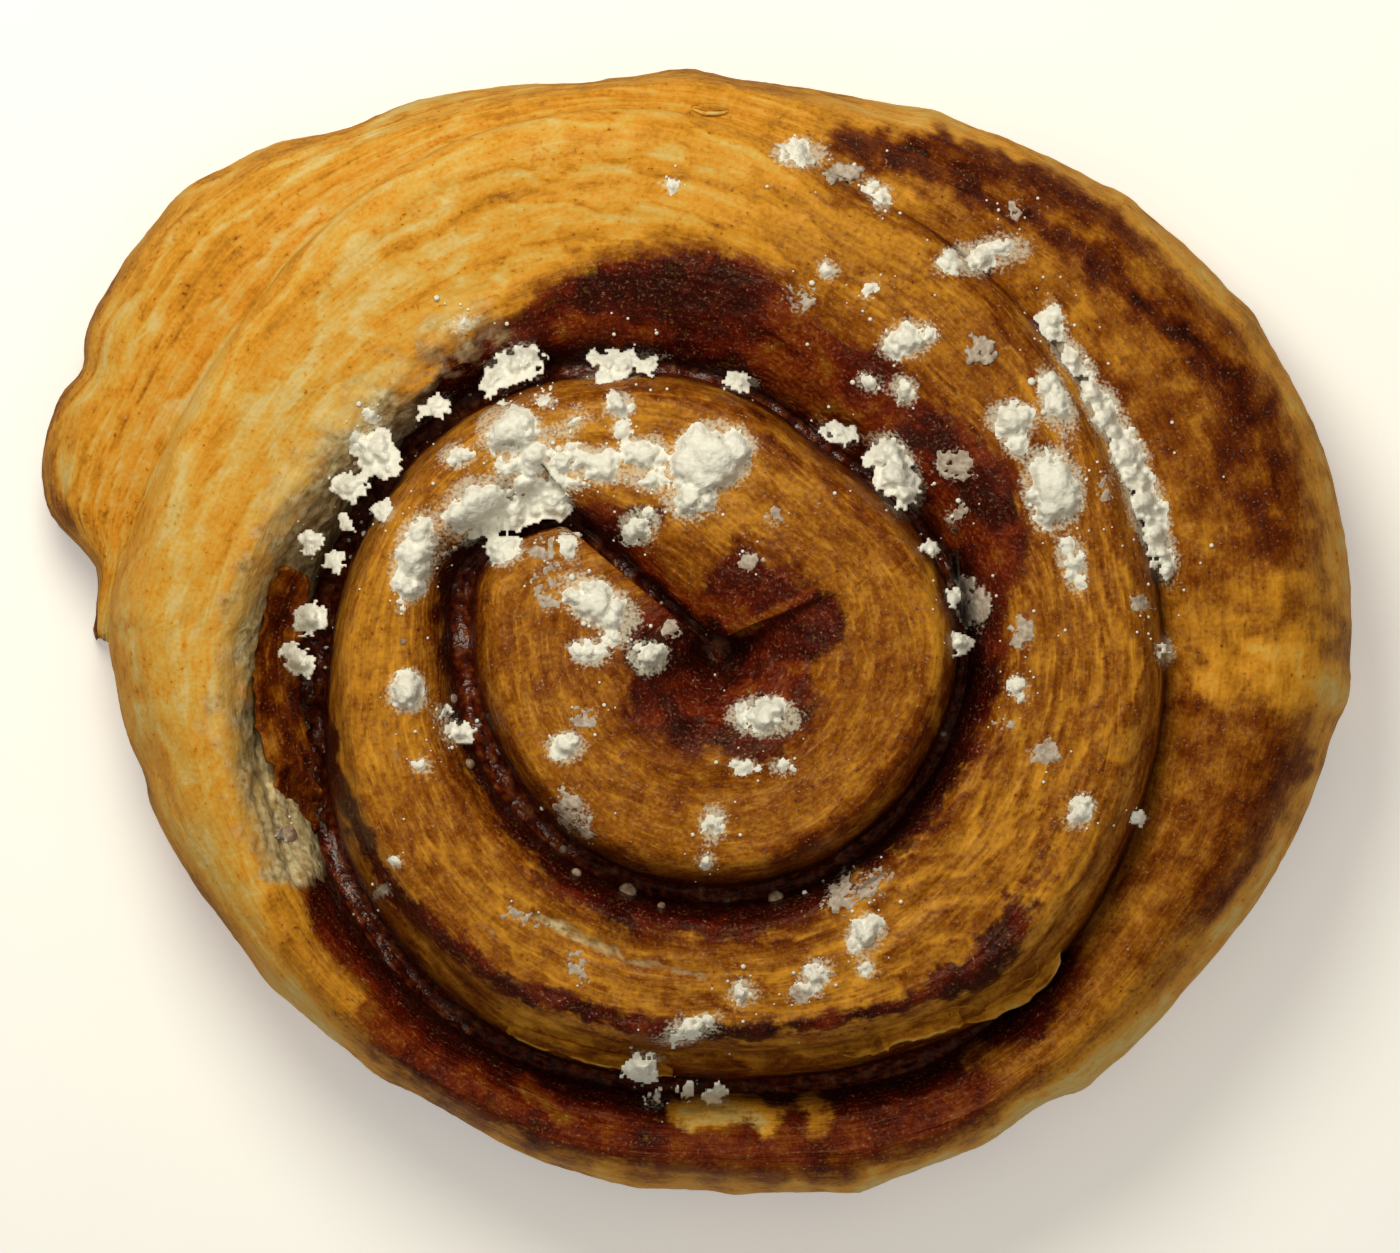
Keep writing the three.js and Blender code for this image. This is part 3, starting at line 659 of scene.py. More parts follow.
def addPiece(name, mesh, material, replaced=None):
    piece = bpy.data.objects.new(name, mesh)
    scene.collection.objects.link(piece)
    mesh.materials.append(material)
    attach(piece, "root")
    if replaced:
        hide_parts(replaced)


def surfaceNormals(place):
    around = np.roll(place, -1, axis=1) - np.roll(place, 1, axis=1)
    forward = np.gradient(place, axis=0)
    normal = np.cross(forward, around)
    return normal / np.maximum(np.linalg.norm(normal, axis=-1, keepdims=True), 1e-9)


def toFrame(place):
    moved = place.copy()
    moved[..., :2] += strip["eyePlace"]
    return moved


def spotAt(x, y, z):
    return Vector((x + strip["eyePlace"][0], y + strip["eyePlace"][1], z)) * mm


def heading(ring, before):
    way = (ring - before).mean(axis=0)
    return way / np.linalg.norm(way)


def shrink(ring, distance):
    inward = ring.mean(axis=0) - ring
    length = np.maximum(np.linalg.norm(inward, axis=-1, keepdims=True), 1e-6)
    return ring + inward / length * np.minimum(distance, 0.9 * length)


def roundedEnd(ring, outward, size, ragged):
    rings = []
    for turn in crust["endTurns"]:
        inset, reach = 1 - math.cos(math.radians(turn)), math.sin(math.radians(turn))
        rings.append(shrink(ring, inset * size) + outward * (reach * size * ragged)[:, None])
    return rings


def makeCrust():
    angle = stationAngles()
    section, place, across, drop, hidden = crustRings(angle)
    width, outer = section["width"], section["outer"]
    share = np.clip(across / width[:, None], 0, 1)
    rise, edges, along, lane = relief(angle, place, across, drop, width)
    depth, bump = pitCrust(angle, place, across)
    layers = paintCrust(angle, place, across, drop, width)
    # Painted shade and highlight at layer steps darken and lighten the browning, more strongly on pale crust.
    clearer = mix(*crust["clearerWherePale"], smooth(0.2, 0.5, layers["bake"]))
    layers["bake"] = layers["bake"] + crust["edges"] * edges * clearer
    x, y, z = [place[..., i] for i in range(3)]
    rise = rise * (1 - crust["smearedCalm"] * layers["stain"])
    rise = rise + layers["stain"] * patches(crust["smearedLumps"], x, y)
    rise = rise + layers["crumb"] * patches(crust["fuzz"], x, y, z)
    free = smooth(*crust["freeAbove"], z) * smooth(*crust["freeWithin"], hidden)
    nearGroove = np.minimum(across, width[:, None] - across)
    calm = mix(crust["grooveCalm"], 1, smooth(*crust["calmBand"], nearGroove))
    calm = np.where(angle[:, None] > strip["outlineStarts"] + 4, mix(calm, 1, share), calm)
    place = place + surfaceNormals(place) * (rise * free * calm)[..., None]
    place[..., 2] -= depth * free
    push = bump[:, None] * share ** 3 * smooth(*crust["bumpAbove"], place[..., 2])
    outward = outer / np.linalg.norm(outer, axis=-1, keepdims=True)
    place[..., :2] += outward[:, None] * push[..., None]
    place[..., 2] = np.maximum(place[..., 2], 0)
    layers["strand"] = np.stack([along + 0 * across, lane, place[..., 2]], axis=-1)
    layers["dusting"] = dustingOver(place[..., 0], place[..., 1])
    long, high = crust["tornSize"]
    torn = grain(lane[-1] / long, place[-1, :, 2] / high, seed=95)
    torn = crust["tornPlain"] + crust["tornRagged"] * torn
    first = roundedEnd(place[0], heading(place[0], place[1]), crust["endRounding"], 0 * torn + 1)
    last = roundedEnd(place[-1], heading(place[-1], place[-2]), crust["tornEnd"], torn)
    rings = np.concatenate([np.array(first[::-1]), place, np.array(last)])
    rings[..., 2] = np.maximum(rings[..., 2], 0)
    more = len(crust["endTurns"])
    for layer, values in layers.items():
        layers[layer] = closed(np.concatenate([values[:1]] * more + [values] + [values[-1:]] * more))
    return closeMesh(gridMesh("dough_crust", toFrame(closed(rings)), layers))


# Thin sheets of crust that stand loose: the places and levels that each runs through, in mm from
# the eye, whether the levels are above the crust, half width, how far its left edge stands above
# its right one, how ragged it is, and its browning.
looseSheets = {
    "lip_flake": {
        "path": [(11.6, -37.0, 0), (13.4, -36.5, 0.2), (17.1, -35.3, 0.3), (20.3, -34.2, 0.3),
                 (24.9, -33.0, 0.3), (28.2, -31.4, 0.4), (30.3, -29.8, 0.5), (31.3, -27.7, 0.1)],
        "rests": True, "half": 0.8, "lean": 0.3, "ragged": 0.5, "bake": 0.36},
    "lens_flake": {
        "path": [(-19.0, -34.6, -0.2), (-16.0, -36.0, 0.2), (-12.0, -37.2, 0.3), (-8.0, -38.0, 0.2),
                 (-4.0, -38.7, 0)],
        "rests": True, "half": 0.7, "lean": 0.3, "ragged": 0.4, "bake": 0.4},
    "crease_flake": {
        "path": [(-2.2, 49.6, 0), (-0.4, 49.5, 0.35), (1.2, 49.4, 0)],
        "rests": True, "half": 0.55, "lean": 0.2, "ragged": 0.6, "bake": 0.22},
    "slot_sheet": {
        "path": [(-38.4, 7.2, 18), (-39.6, 4.8, 17.8), (-40.4, 1.6, 17.4), (-40.5, -3.2, 17),
                 (-39.8, -7.1, 16.5), (-38.7, -10.9, 16), (-39.1, -13.6, 15), (-38.6, -17.4, 13)],
        "rests": False, "half": 2.1, "lean": 2.2, "ragged": 0.4, "bake": 0.77},
}
sheetSize = {
    "spacing": 0.35, "columns": 11, "thickness": 0.3, "taper": 1.5, "sunk": 0.2, "edgesSunk": 0.4,
    "edgesCurl": 0.4, "wave": 0.5, "waveSize": 3, "raggedSize": 2.6, "reachesDown": 2, "tone": 0.4,
    "paleEdge": 0.14, "blotches": 0.4,
}


def sideways(path):
    forward = np.gradient(path, axis=0)
    forward = forward / np.linalg.norm(forward, axis=-1, keepdims=True)
    return np.stack([forward[:, 1], -forward[:, 0]], -1)[:, None]


def roundTaper(share):
    return np.sqrt(1 - (1 - share) ** 2)


def makeSheet(name, sheet, surface):
    path = np.array(sheet["path"], float)
    run = np.concatenate([[0], np.cumsum(np.linalg.norm(np.diff(path, axis=0), axis=1))])
    along = np.linspace(0, run[-1], int(run[-1] / sheetSize["spacing"]))
    centre = np.stack([curve(np.stack([run, path[:, i]], -1), along) for i in range(3)], -1)
    toEnd = np.minimum(along, along[::-1])
    ends = roundTaper(np.clip(toEnd / sheetSize["taper"], 0.1, 1))[:, None]
    along = along[:, None]
    side = np.linspace(-1, 1, sheetSize["columns"])[None]
    edge = 1 + sheet["ragged"] * 2 * fractal(
        along / sheetSize["raggedSize"], np.sign(side) * 9 + 0.5, seed=601)
    reach = sheet["half"] * ends * side * np.where(np.abs(side) > 0.4, edge, 1)
    flat = centre[:, None, :2] + sideways(centre[:, :2]) * reach[..., None]
    wave = sheetSize["wave"] * fractal(along / sheetSize["waveSize"], side * 0.7, seed=603)
    level = centre[:, 2:] + 0.5 * sheet["lean"] * side + sheetSize["edgesCurl"] * side ** 2 + wave
    if sheet["rests"]:
        ground = np.array([[surface(*spot) or 0 for spot in row] for row in flat])
        level = level - sheetSize["sunk"] - sheetSize["edgesSunk"] * np.abs(side)
        lowest = ground.max(axis=1, keepdims=True) - sheetSize["reachesDown"]
        level = level + np.maximum(ground, lowest)
    place = np.concatenate([flat, level[..., None]], axis=-1)
    none = np.zeros(level.shape)
    pale = sheetSize["paleEdge"] * smooth(0.7, 1, side)
    pale = pale + sheetSize["blotches"] * fractal(along / 2, side * 1.5, seed=605)
    layers = dict.fromkeys(("stain", "crumb", "dusting", "across"), none)
    layers["bake"] = sheet["bake"] - pale + 0.1 * wave
    layers["tone"] = none + sheetSize["tone"]
    layers["strand"] = np.stack([along + none, reach, level], axis=-1)
    return thickenMesh(gridMesh(name, toFrame(place), layers), sheetSize["thickness"])


# Sticky filling in the groove and the crack, in mm: how far it starts behind the eye, how much
# wider it is than the groove, how far its edges creep up, and how lumpy it is.
syrup = {
    "start": 144.0, "end": 790, "base": 0.4, "behindEye": 1.8, "belowEyeHollow": 0.4, "raised": -0.3,
    "spacing": 0.6, "overlap": 0.3, "crackOverlap": 0.2, "poolOverlap": 0.1, "pool": (2.4, 0.9),
    "meniscus": 0.6, "lumps": (0.5, 2.4, 101, 3), "drops": 0.4, "dropBand": (0.1, 0.5),
    "dropPattern": (1, 0.9, 103, 2), "top": 18, "walls": 4,
}


def makeSyrup():
    distances = np.arange(-syrup["behindEye"], strip["crackLength"], syrup["spacing"])
    eyeLevel = curve(hollowLevel, 360) - syrup["belowEyeHollow"]
    grooveStart = curve(grooveLevel, strip["start"])
    crackLevel = mix(eyeLevel, grooveStart, np.maximum(distances, 0) / strip["crackLength"])
    angles, angle = [], syrup["start"]
    while angle < syrup["end"]:
        angles.append(angle)
        angle += math.degrees(syrup["spacing"] / float(curve(edgeRadius, angle)))
    angles = np.array(angles)
    crackPath = besideCrack(distances, 0 * distances)
    path = np.concatenate([crackPath, polar(curve(edgeRadius, angles), angles)])
    level = np.concatenate([crackLevel, curve(grooveLevel, angles)])[:, None]
    pool = (strip["eyeRadius"] + syrup["poolOverlap"]) * smooth(*syrup["pool"], np.abs(distances))
    crackHalf = np.maximum(strip["crackHalfWidth"] + syrup["crackOverlap"], pool)
    half = np.concatenate([crackHalf, curve(grooveHalfWidth, angles)]) + syrup["overlap"]
    ends = np.minimum(np.arange(len(path)), np.arange(len(path))[::-1]) / 2.0
    half = half * roundTaper(np.clip(ends, 0.15, 1))
    across = np.linspace(-1, 1, syrup["top"])
    up = np.linspace(0, 1, syrup["walls"], endpoint=False)
    side = np.concatenate([0 * up - 1, across, 0 * up + 1])
    flat = path[:, None] + sideways(path) * (side * half[:, None])[..., None]
    x, y = flat[..., 0], flat[..., 1]
    top = level + syrup["raised"] + syrup["meniscus"] * side ** 2
    top = top + patches(syrup["lumps"], x, y)
    top = top + syrup["drops"] * smooth(*syrup["dropBand"], patches(syrup["dropPattern"], x, y))
    share = np.concatenate([up, 0 * across + 1, up[::-1]])
    height = mix(syrup["base"], top, share)
    rings = closed(np.concatenate([flat, height[..., None]], axis=-1))
    return closeMesh(gridMesh("cinnamon_syrup", toFrame(rings), {}))


# Icing sugar: place from the eye, half length, half width, direction in degrees, and how high
# the lump stands against its half width.
sugarClumps = [
    (-18.9, 19.8, 3.0, 2.6, 0, 0.7), (-14.0, 17.0, 2.6, 1.8, 20, 0.5), (-10.2, 16.6, 2.4, 1.8, 0, 0.5),
    (-6.6, 17.6, 2.6, 2.0, 0, 0.5), (-0.4, 17.4, 4.2, 3.4, 20, 0.75), (-2.3, 13.8, 2.7, 2.2, 0, 0.6),
    (-8.8, 22.2, 1.4, 1.3, 0, 0.9), (-21.9, 12.7, 3.8, 3.0, 30, 0.6), (-19.6, 9.0, 1.9, 1.6, 0, 0.5),
    (-23.5, 17.6, 1.8, 1.2, 0, 0.35), (-7.0, 11.2, 1.9, 1.6, 30, 0.5), (-27.6, 8.3, 4.2, 2.1, 80, 0.5),
    (-10.8, 4.1, 4.2, 2.2, 150, 0.6), (-6.2, -0.8, 1.8, 1.7, 0, 0.7), (-11.6, -0.4, 1.8, 1.3, 0, 0.4),
    (-28.2, -3.9, 2.0, 1.9, 90, 0.75), (-13.7, -9.0, 1.8, 1.5, 0, 0.4), (4.4, -6.3, 3.3, 1.9, 0, 0.7),
    (-0.3, -16.0, 1.8, 1.3, 90, 0.4), (13.6, -26.3, 2.2, 1.7, 60, 0.55), (2.5, -31.6, 1.3, 1.3, 0, 0.7),
    (9.0, -30.0, 1.9, 1.3, 60, 0.45), (-2.3, -34.8, 2.9, 1.2, 20, 0.45), (0.1, -41.1, 0.9, 0.8, 0, 0.5),
    (-31.0, 18.4, 2.4, 1.8, 60, 0.5), (-18.4, 26.2, 2.6, 1.6, 20, 0.5), (7.6, 45.4, 2.6, 1.5, 0, 0.5),
    (15.2, 41.3, 1.2, 1.0, 90, 0.45), (24.4, 36.0, 4.4, 1.6, 14, 0.45), (31.0, 30.0, 1.9, 1.2, 100, 0.5),
    (35.8, 21.4, 3.9, 1.7, 122, 0.5), (39.3, 13.4, 4.6, 1.9, 108, 0.5), (30.8, 14.6, 4.0, 2.9, 95, 0.65),
    (32.6, 7.8, 2.8, 1.3, 100, 0.4), (27.0, 20.9, 2.4, 1.9, 0, 0.55), (31.2, 22.4, 3.6, 1.5, 110, 0.5),
    (17.5, 28.2, 2.8, 1.8, 20, 0.55), (16.4, 16.0, 4.0, 2.2, 112, 0.6), (30.2, -9.6, 1.5, 1.1, 0, 0.26),
    (33.3, -15.0, 1.7, 1.1, 60, 0.5), (27.7, -3.7, 1.2, 1.0, 120, 0.5),
    (-6.6, -38.4, 1.7, 1.5, 0, 0.95), (-2.8, -40.5, 0.55, 0.5, 0, 0.9), (-5.5, -41.5, 0.9, 0.7, 0, 0.3),
    (-33.6, 15.0, 1.6, 1.2, 0, 0.5), (-33.7, 11.4, 0.8, 0.7, 0, 0.8), (-35.1, 7.8, 1.0, 0.7, 70, 0.5),
    (-37.2, 2.9, 1.7, 1.5, 0, 0.85), (-38.4, -1.0, 1.8, 1.5, 0, 0.8), (-23.7, -7.7, 1.3, 1.0, 0, 0.5),
    (-27.0, -10.8, 1.1, 0.8, 0, 0.35), (-29.4, -19.4, 0.7, 0.7, 0, 0.7), (2.8, -10.8, 1.5, 0.8, 0, 0.3),
    (6.0, -10.8, 1.3, 0.8, 0, 0.3), (-0.9, -19.6, 0.8, 0.7, 0, 0.8), (12.6, -22.0, 3.0, 1.6, 25, 0.2),
    (7.6, -31.6, 1.2, 0.8, 20, 0.25), (-8.3, 25.8, 3.4, 1.1, 10, 0.4), (2.3, 24.2, 1.5, 0.8, 0, 0.6),
    (-4.1, 42.3, 0.7, 0.6, 0, 0.5), (-23.1, 29.8, 1.2, 0.9, 20, 0.4), (11.1, 19.6, 2.0, 0.8, 160, 0.4),
    (22.3, 0.5, 0.9, 0.9, 0, 0.7), (41.1, -0.3, 0.8, 1.2, 0, 0.8), (38.8, -15.6, 0.5, 0.5, 0, 0.8),
    (10.2, 34.6, 1.0, 0.9, 0, 0.5), (30.6, 30.2, 1.4, 1.0, 90, 0.4), (32.8, 26.4, 3.4, 1.3, 130, 0.4),
    (37.8, 17.8, 3.2, 1.8, 115, 0.45), (41.0, 8.6, 2.6, 1.3, 98, 0.4), (27.6, 18.5, 1.3, 1.2, 0, 0.5),
    (21.7, 16.7, 1.8, 1.4, 0, 0.18), (22.2, 12.1, 1.2, 1.0, 0, 0.2), (23.5, 4.0, 2.4, 1.6, 100, 0.2),
    (19.8, 9.0, 0.6, 0.6, 0, 0.5), (24.4, 27.1, 1.2, 1.0, 0, 0.2), (14.0, 33.0, 1.1, 0.7, 60, 0.3),
    (-32.4, 18.8, 1.4, 1.2, 0, 0.4), (-25.8, 22.0, 1.8, 1.0, 45, 0.3), (7.6, 32.2, 1.4, 1.3, 0, 0.2),
    (-11.8, -6.4, 1.4, 1.0, 0, 0.2), (-12.9, -15.2, 2.4, 1.5, 130, 0.16), (-24.9, -6.0, 1.0, 0.8, 0, 0.3),
    (28.0, 1.4, 0.9, 1.4, 0, 0.25), (35.7, 14.7, 0.8, 1.2, 0, 0.25), (26.4, -6.8, 1.0, 0.9, 0, 0.2),
    (3.0, 8.0, 0.9, 0.7, 0, 0.18), (5.2, 11.9, 1.0, 0.9, 0, 0.14), (39.0, 4.2, 0.8, 0.9, 0, 0.2),
    (-17.6, -24.6, 1.2, 0.7, 150, 0.22), (-12.6, -29.0, 1.5, 1.0, 110, 0.16), (14.3, 42.4, 0.7, 0.7, 0, 0.5),
    (11.5, 43.6, 1.2, 0.7, 0, 0.22), (27.3, 40.2, 0.7, 0.9, 0, 0.25), (-15.6, 22.6, 0.9, 0.7, 0, 0.35),
    (-13.0, 20.8, 1.5, 0.9, 60, 0.3), (-8.6, 19.9, 1.0, 0.9, 0, 0.4), (-13.5, 9.2, 1.0, 1.8, 20, 0.3),
    (-4.4, 1.6, 0.9, 0.8, 0, 0.2), (-9.4, 0.9, 1.3, 1.1, 0, 0.4), (-31.6, 21.3, 1.0, 0.9, 0, 0.3),
    (-30.3, 17.6, 2.6, 1.3, 70, 0.5), (-18.5, 12.6, 3.0, 1.9, 20, 0.5), (-20.8, 11.3, 2.6, 1.4, 20, 0.45),
    (-15.0, 13.2, 1.8, 1.6, 0, 0.45), (-16.6, 17.6, 2.6, 1.8, 60, 0.5), (-17.6, 14.8, 2.6, 1.4, 40, 0.5),
    (-18.5, 16.8, 2.2, 1.1, 10, 0.4), (-14.5, 15.2, 2.6, 1.1, 0, 0.4),
    (-13.4, 20.2, 2.0, 0.9, 20, 0.4), (-5.8, 15.5, 2.8, 1.2, 0, 0.45), (-9.8, 26.0, 2.0, 1.1, 0, 0.5),
    (-17.5, 25.9, 1.1, 1.0, 0, 0.8), (-20.2, 24.8, 1.4, 1.0, 40, 0.5), (17.2, 23.5, 1.6, 1.2, 110, 0.5),
    (14.2, 24.4, 1.1, 0.8, 0, 0.4), (30.4, 11.6, 1.6, 1.2, 0, 0.4), (-37.3, 10.0, 1.0, 0.9, 0, 0.6),
    (-30.5, 12.3, 1.0, 0.9, 0, 0.5), (21.7, 4.6, 0.6, 0.9, 0, 0.5), (13.6, -29.2, 0.9, 1.1, 0, 0.4),
    (-12.4, 17.2, 1.8, 1.4, 0, 0.45), (-15.2, 4.8, 1.6, 1.2, 60, 0.24),
    (-15.5, 7.6, 1.3, 2.2, 10, 0.24), (-25.4, 9.2, 1.1, 1.6, 0, 0.24), (-28.6, 3.9, 0.8, 0.7, 0, 0.3),
    (-39.8, -17.0, 0.9, 0.9, 0, 0.24), (-30.6, -22.2, 0.8, 0.7, 0, 0.24),
]
# Lengths in mm. Clumps that rise less than "faint" are thin and wet. Over a groove the sugar
# bridges from lip to lip, lower at its rim than at its heap, and eased to its slope of repose.
sugar = {
    "cell": 0.17, "left": -43, "right": 46, "low": -46, "high": 49, "ragged": (0.5, 1.9, 501, 3),
    "lace": (0.45, 0.75, 503, 3), "crumbs": (0.55, 0.36, 505, 2), "wetRagged": 1.4, "gentle": 0.85,
    "grown": 0.04, "border": 0.34, "sunk": 0.75, "plate": 0.25, "leastPlate": 0.1, "lumps": 0.2,
    "lumpPattern": (1, 1.1, 507, 3), "knobPattern": (0.8, 0.5, 509, 2), "plateBand": (0, 0.7),
    "edgeBand": (0, 0.3), "heapBand": (0, 1.2), "faint": 0.27, "faintDepth": 0.09,
    "faintBand": (0, 0.4), "faintWetness": 0.75, "bridgedRim": 1, "bridgedHeap": 0.4,
    "lowestBridge": 12, "shell": 0.25, "torn": 0.5, "groundCell": 0.9, "groundMargin": 4,
    "repose": 0.9,
}
# A clump is balls: so many, and so many more a square mm. Its other balls are shares of its width.
clumpShape = {
    "seed": 4000, "balls": 5, "ballsPerArea": 1.4, "middleBall": 0.7, "otherBalls": (0.26, 0.56),
    "heap": 1.3, "steepest": 0.85, "roundness": 1.1, "outline": 1.06, "looseness": 0.3,
    "faintMost": 0.45, "spread": 1.35, "margin": 1.2, "nothing": -9.0,
}


def clumpAxes(clump, x, y):
    x0, y0, half, wide, turn = clump[:5]
    c, s = math.cos(math.radians(turn)), math.sin(math.radians(turn))
    return (x - x0) * c + (y - y0) * s, -(x - x0) * s + (y - y0) * c


def clumpLobes(index, clump, u, v):
    # Overlapping balls, one in the middle and the rest at random: how far inside them, and how high.
    half, wide, rise = clump[2], clump[3], clump[5]
    shape = clumpShape
    draw = np.random.default_rng(shape["seed"] + index)
    heap = np.zeros(u.shape)
    lobes = np.full(u.shape, shape["nothing"])
    for ball in range(shape["balls"] + int(half * wide * shape["ballsPerArea"])):
        far = 0 if ball == 0 else math.sqrt(draw.uniform(0, 1))
        way = draw.uniform(0, 2 * math.pi)
        share = shape["middleBall"] if ball == 0 else draw.uniform(*shape["otherBalls"])
        radius = min(half, wide) * share
        reachU, reachV = max(half - radius, 0), max(wide - radius, 0)
        gap = np.hypot(u - reachU * far * math.cos(way), v - reachV * far * math.sin(way))
        dome = np.sqrt(np.clip(shape["roundness"] - (gap / radius) ** 2, 0, 1))
        heap = np.maximum(heap, shape["heap"] * radius * min(rise, shape["steepest"]) * dome)
        lobes = np.maximum(lobes, radius - gap)
    return lobes, heap


def sugarMass(x, y):
    # How far each spot lies inside a clump, how high the sugar stands, and how wet it is.
    shape = clumpShape
    inside = np.full(x.shape, shape["nothing"])
    level = np.zeros(x.shape)
    wet = np.zeros(x.shape)
    for index, clump in enumerate(sugarClumps):
        x0, y0, half, wide, turn, rise = clump
        reach = shape["spread"] * max(half, wide) + shape["margin"]
        columns = np.flatnonzero(np.abs(x[0] - x0) < reach)
        rows = np.flatnonzero(np.abs(y[:, 0] - y0) < reach)
        part = np.s_[rows[0]:rows[-1] + 1, columns[0]:columns[-1] + 1]
        u, v = clumpAxes(clump, x[part], y[part])
        depth = (shape["outline"] - np.hypot(u / half, v / wide)) * min(half, wide)
        if rise < sugar["faint"]:
            depth = np.minimum(depth, shape["faintMost"]) - shape["looseness"]
        else:
            lobes, heap = clumpLobes(index, clump, u, v)
            depth = np.minimum(depth + shape["looseness"], lobes)
            level[part] = np.maximum(level[part], heap)
        wetness = sugar["faintWetness"] * (rise < sugar["faint"])
        wet[part] = np.where(depth > inside[part], wetness, wet[part])
        inside[part] = np.maximum(inside[part], depth)
    return inside, level, wet


def smoothGround(surface):
    # The ground with its walls eased to the slope of repose, so that a clump lies across a groove.
    step = sugar["groundCell"]
    margin = sugar["groundMargin"]
    xs = np.arange(sugar["left"] - margin, sugar["right"] + margin, step)
    ys = np.arange(sugar["low"] - margin, sugar["high"] + margin, step)
    level = np.array([[surface(x, y) or 0 for x in xs] for y in ys])
    for merge in 5 * (np.max,) + (np.mean,):
        padded = np.pad(level, 1, mode="edge")
        fall = sugar["repose"] * step * (merge is np.max)
        level = merge([padded[i:i + len(ys), j:j + len(xs)] - fall * math.hypot(i - 1, j - 1)
                       for i in range(3) for j in range(3)], axis=0)

    def ground(x, y):
        column = np.clip((x - xs[0]) / step, 0, len(xs) - 1.001)
        row = np.clip((y - ys[0]) / step, 0, len(ys) - 1.001)
        c, r = column.astype(int), row.astype(int)
        near = mix(level[r, c], level[r, c + 1], column - c)
        far = mix(level[r + 1, c], level[r + 1, c + 1], column - c)
        return mix(near, far, row - r)
    return ground


def makeSugar(surface):
    ground = smoothGround(surface)
    cell = sugar["cell"]
    across = int((sugar["right"] - sugar["left"]) / cell)
    along = int((sugar["high"] - sugar["low"]) / cell)
    x, y = np.meshgrid(sugar["left"] + cell * np.arange(across + 1),
                       sugar["low"] + cell * np.arange(along + 1))
    inside, level, wet = sugarMass(x, y)
    noise = patches(sugar["ragged"], x, y) + patches(sugar["lace"], x, y)
    noise = noise + patches(sugar["crumbs"], x, y)
    depth = sugar["gentle"] * inside + sugar["grown"]
    inside = depth + noise * mix(1, sugar["wetRagged"], wet > 0)
    body = smooth(*sugar["plateBand"], mix(depth, inside, sugar["torn"]))
    body = body * smooth(*sugar["edgeBand"], inside)
    bridged = mix(sugar["bridgedRim"], sugar["bridgedHeap"], smooth(*sugar["heapBand"], depth))
    lumps = patches(sugar["lumpPattern"], x, y) + patches(sugar["knobPattern"], x, y)
    thick = sugar["plate"] * body + level * body + sugar["lumps"] * lumps * body
    thick = np.maximum(thick, sugar["leastPlate"] * body)
    thick = np.where(wet > 0, sugar["faintDepth"] * smooth(*sugar["faintBand"], inside), thick)
    thick = np.where(inside < 0, sugar["sunk"] * inside, thick)
    place = np.zeros(x.shape + (3,))
    for r, c in np.argwhere(inside > -sugar["border"]):
        bare = surface(x[r, c], y[r, c])
        bridge = ground(x[r, c], y[r, c]) - bridged[r, c]
        if bare is None and (bridge < sugar["lowestBridge"] or wet[r, c] > 0):
            continue
        bare = bare or 0
        base = bare if wet[r, c] > 0 else max(bare, bridge)
        place[r, c] = x[r, c], y[r, c], base + thick[r, c]
    return thickenMesh(gridMesh("icing_sugar_clumps", toFrame(place), {"wet": wet}), sugar["shell"])


# Beads of sugar that have drawn water: place from the eye and radius.
sugarBeads = [
    (-8.1, -22.3, 0.85), (5.5, -22.9, 0.75), (-5.0, -23.6, 0.4), (1.0, -23.1, 0.35),
    (-12.8, -20.6, 0.5), (-39.4, -17.0, 0.85), (-40.1, 3.0, 0.6), (-14.0, -18.4, 0.4),
    (-28.6, 0.6, 0.3), (-22.6, -10.6, 0.5), (-24.1, -4.6, 0.45), (20.9, -7.8, 0.35),
]
# Grains lie round the clumps. Sizes and distances in mm, but reach and lift are shares.
grains = {
    "seed": 77, "count": 420, "reach": (0.8, 1.5), "scatter": 0.7, "size": (0.06, 0.13),
    "larger": 0.05, "lift": 0.35, "beadsSunk": 0.1,
}


def makeGrains(surface):
    draw = np.random.default_rng(grains["seed"])
    bm = bmesh.new()
    wet = bm.verts.layers.float.new("wet")
    for x, y, size in sugarBeads:
        made = bmesh.ops.create_icosphere(bm, subdivisions=3, radius=size * mm)["verts"]
        bmesh.ops.translate(bm, verts=made, vec=spotAt(x, y, surface(x, y) - grains["beadsSunk"] * size))
        for vert in made:
            vert[wet] = 1
    for _ in range(grains["count"]):
        x0, y0, half, wide, turn, rise = sugarClumps[draw.integers(len(sugarClumps))]
        reach = draw.uniform(*grains["reach"]) * max(half, wide) + draw.exponential(grains["scatter"])
        way = draw.uniform(0, 2 * math.pi)
        size = draw.uniform(*grains["size"]) + draw.exponential(grains["larger"])
        x, y = x0 + reach * math.cos(way), y0 + reach * math.sin(way)
        ground = surface(x, y)
        if ground is not None:
            made = bmesh.ops.create_icosphere(bm, subdivisions=1, radius=size * mm)["verts"]
            bmesh.ops.translate(bm, verts=made, vec=spotAt(x, y, ground + grains["lift"] * size))
    return finishMesh(bm, bpy.data.meshes.new("loose_sugar"))


# A thin veil of sugar round each clump, weaker round a low one.
dusting = {"band": (-0.4, 0.8), "weakest": 0.5, "low": (0.2, 0.4)}


def dustingOver(x, y):
    dust = np.zeros(x.shape)
    for clump in sugarClumps:
        u, v = clumpAxes(clump, x, y)
        half, wide, rise = clump[2], clump[3], clump[5]
        beyond = (np.hypot(u / half, v / wide) - 1) * min(half, wide)
        strength = mix(dusting["weakest"], 1, smooth(*dusting["low"], rise))
        dust = np.maximum(dust, strength * (1 - smooth(*dusting["band"], beyond)))
    return dust


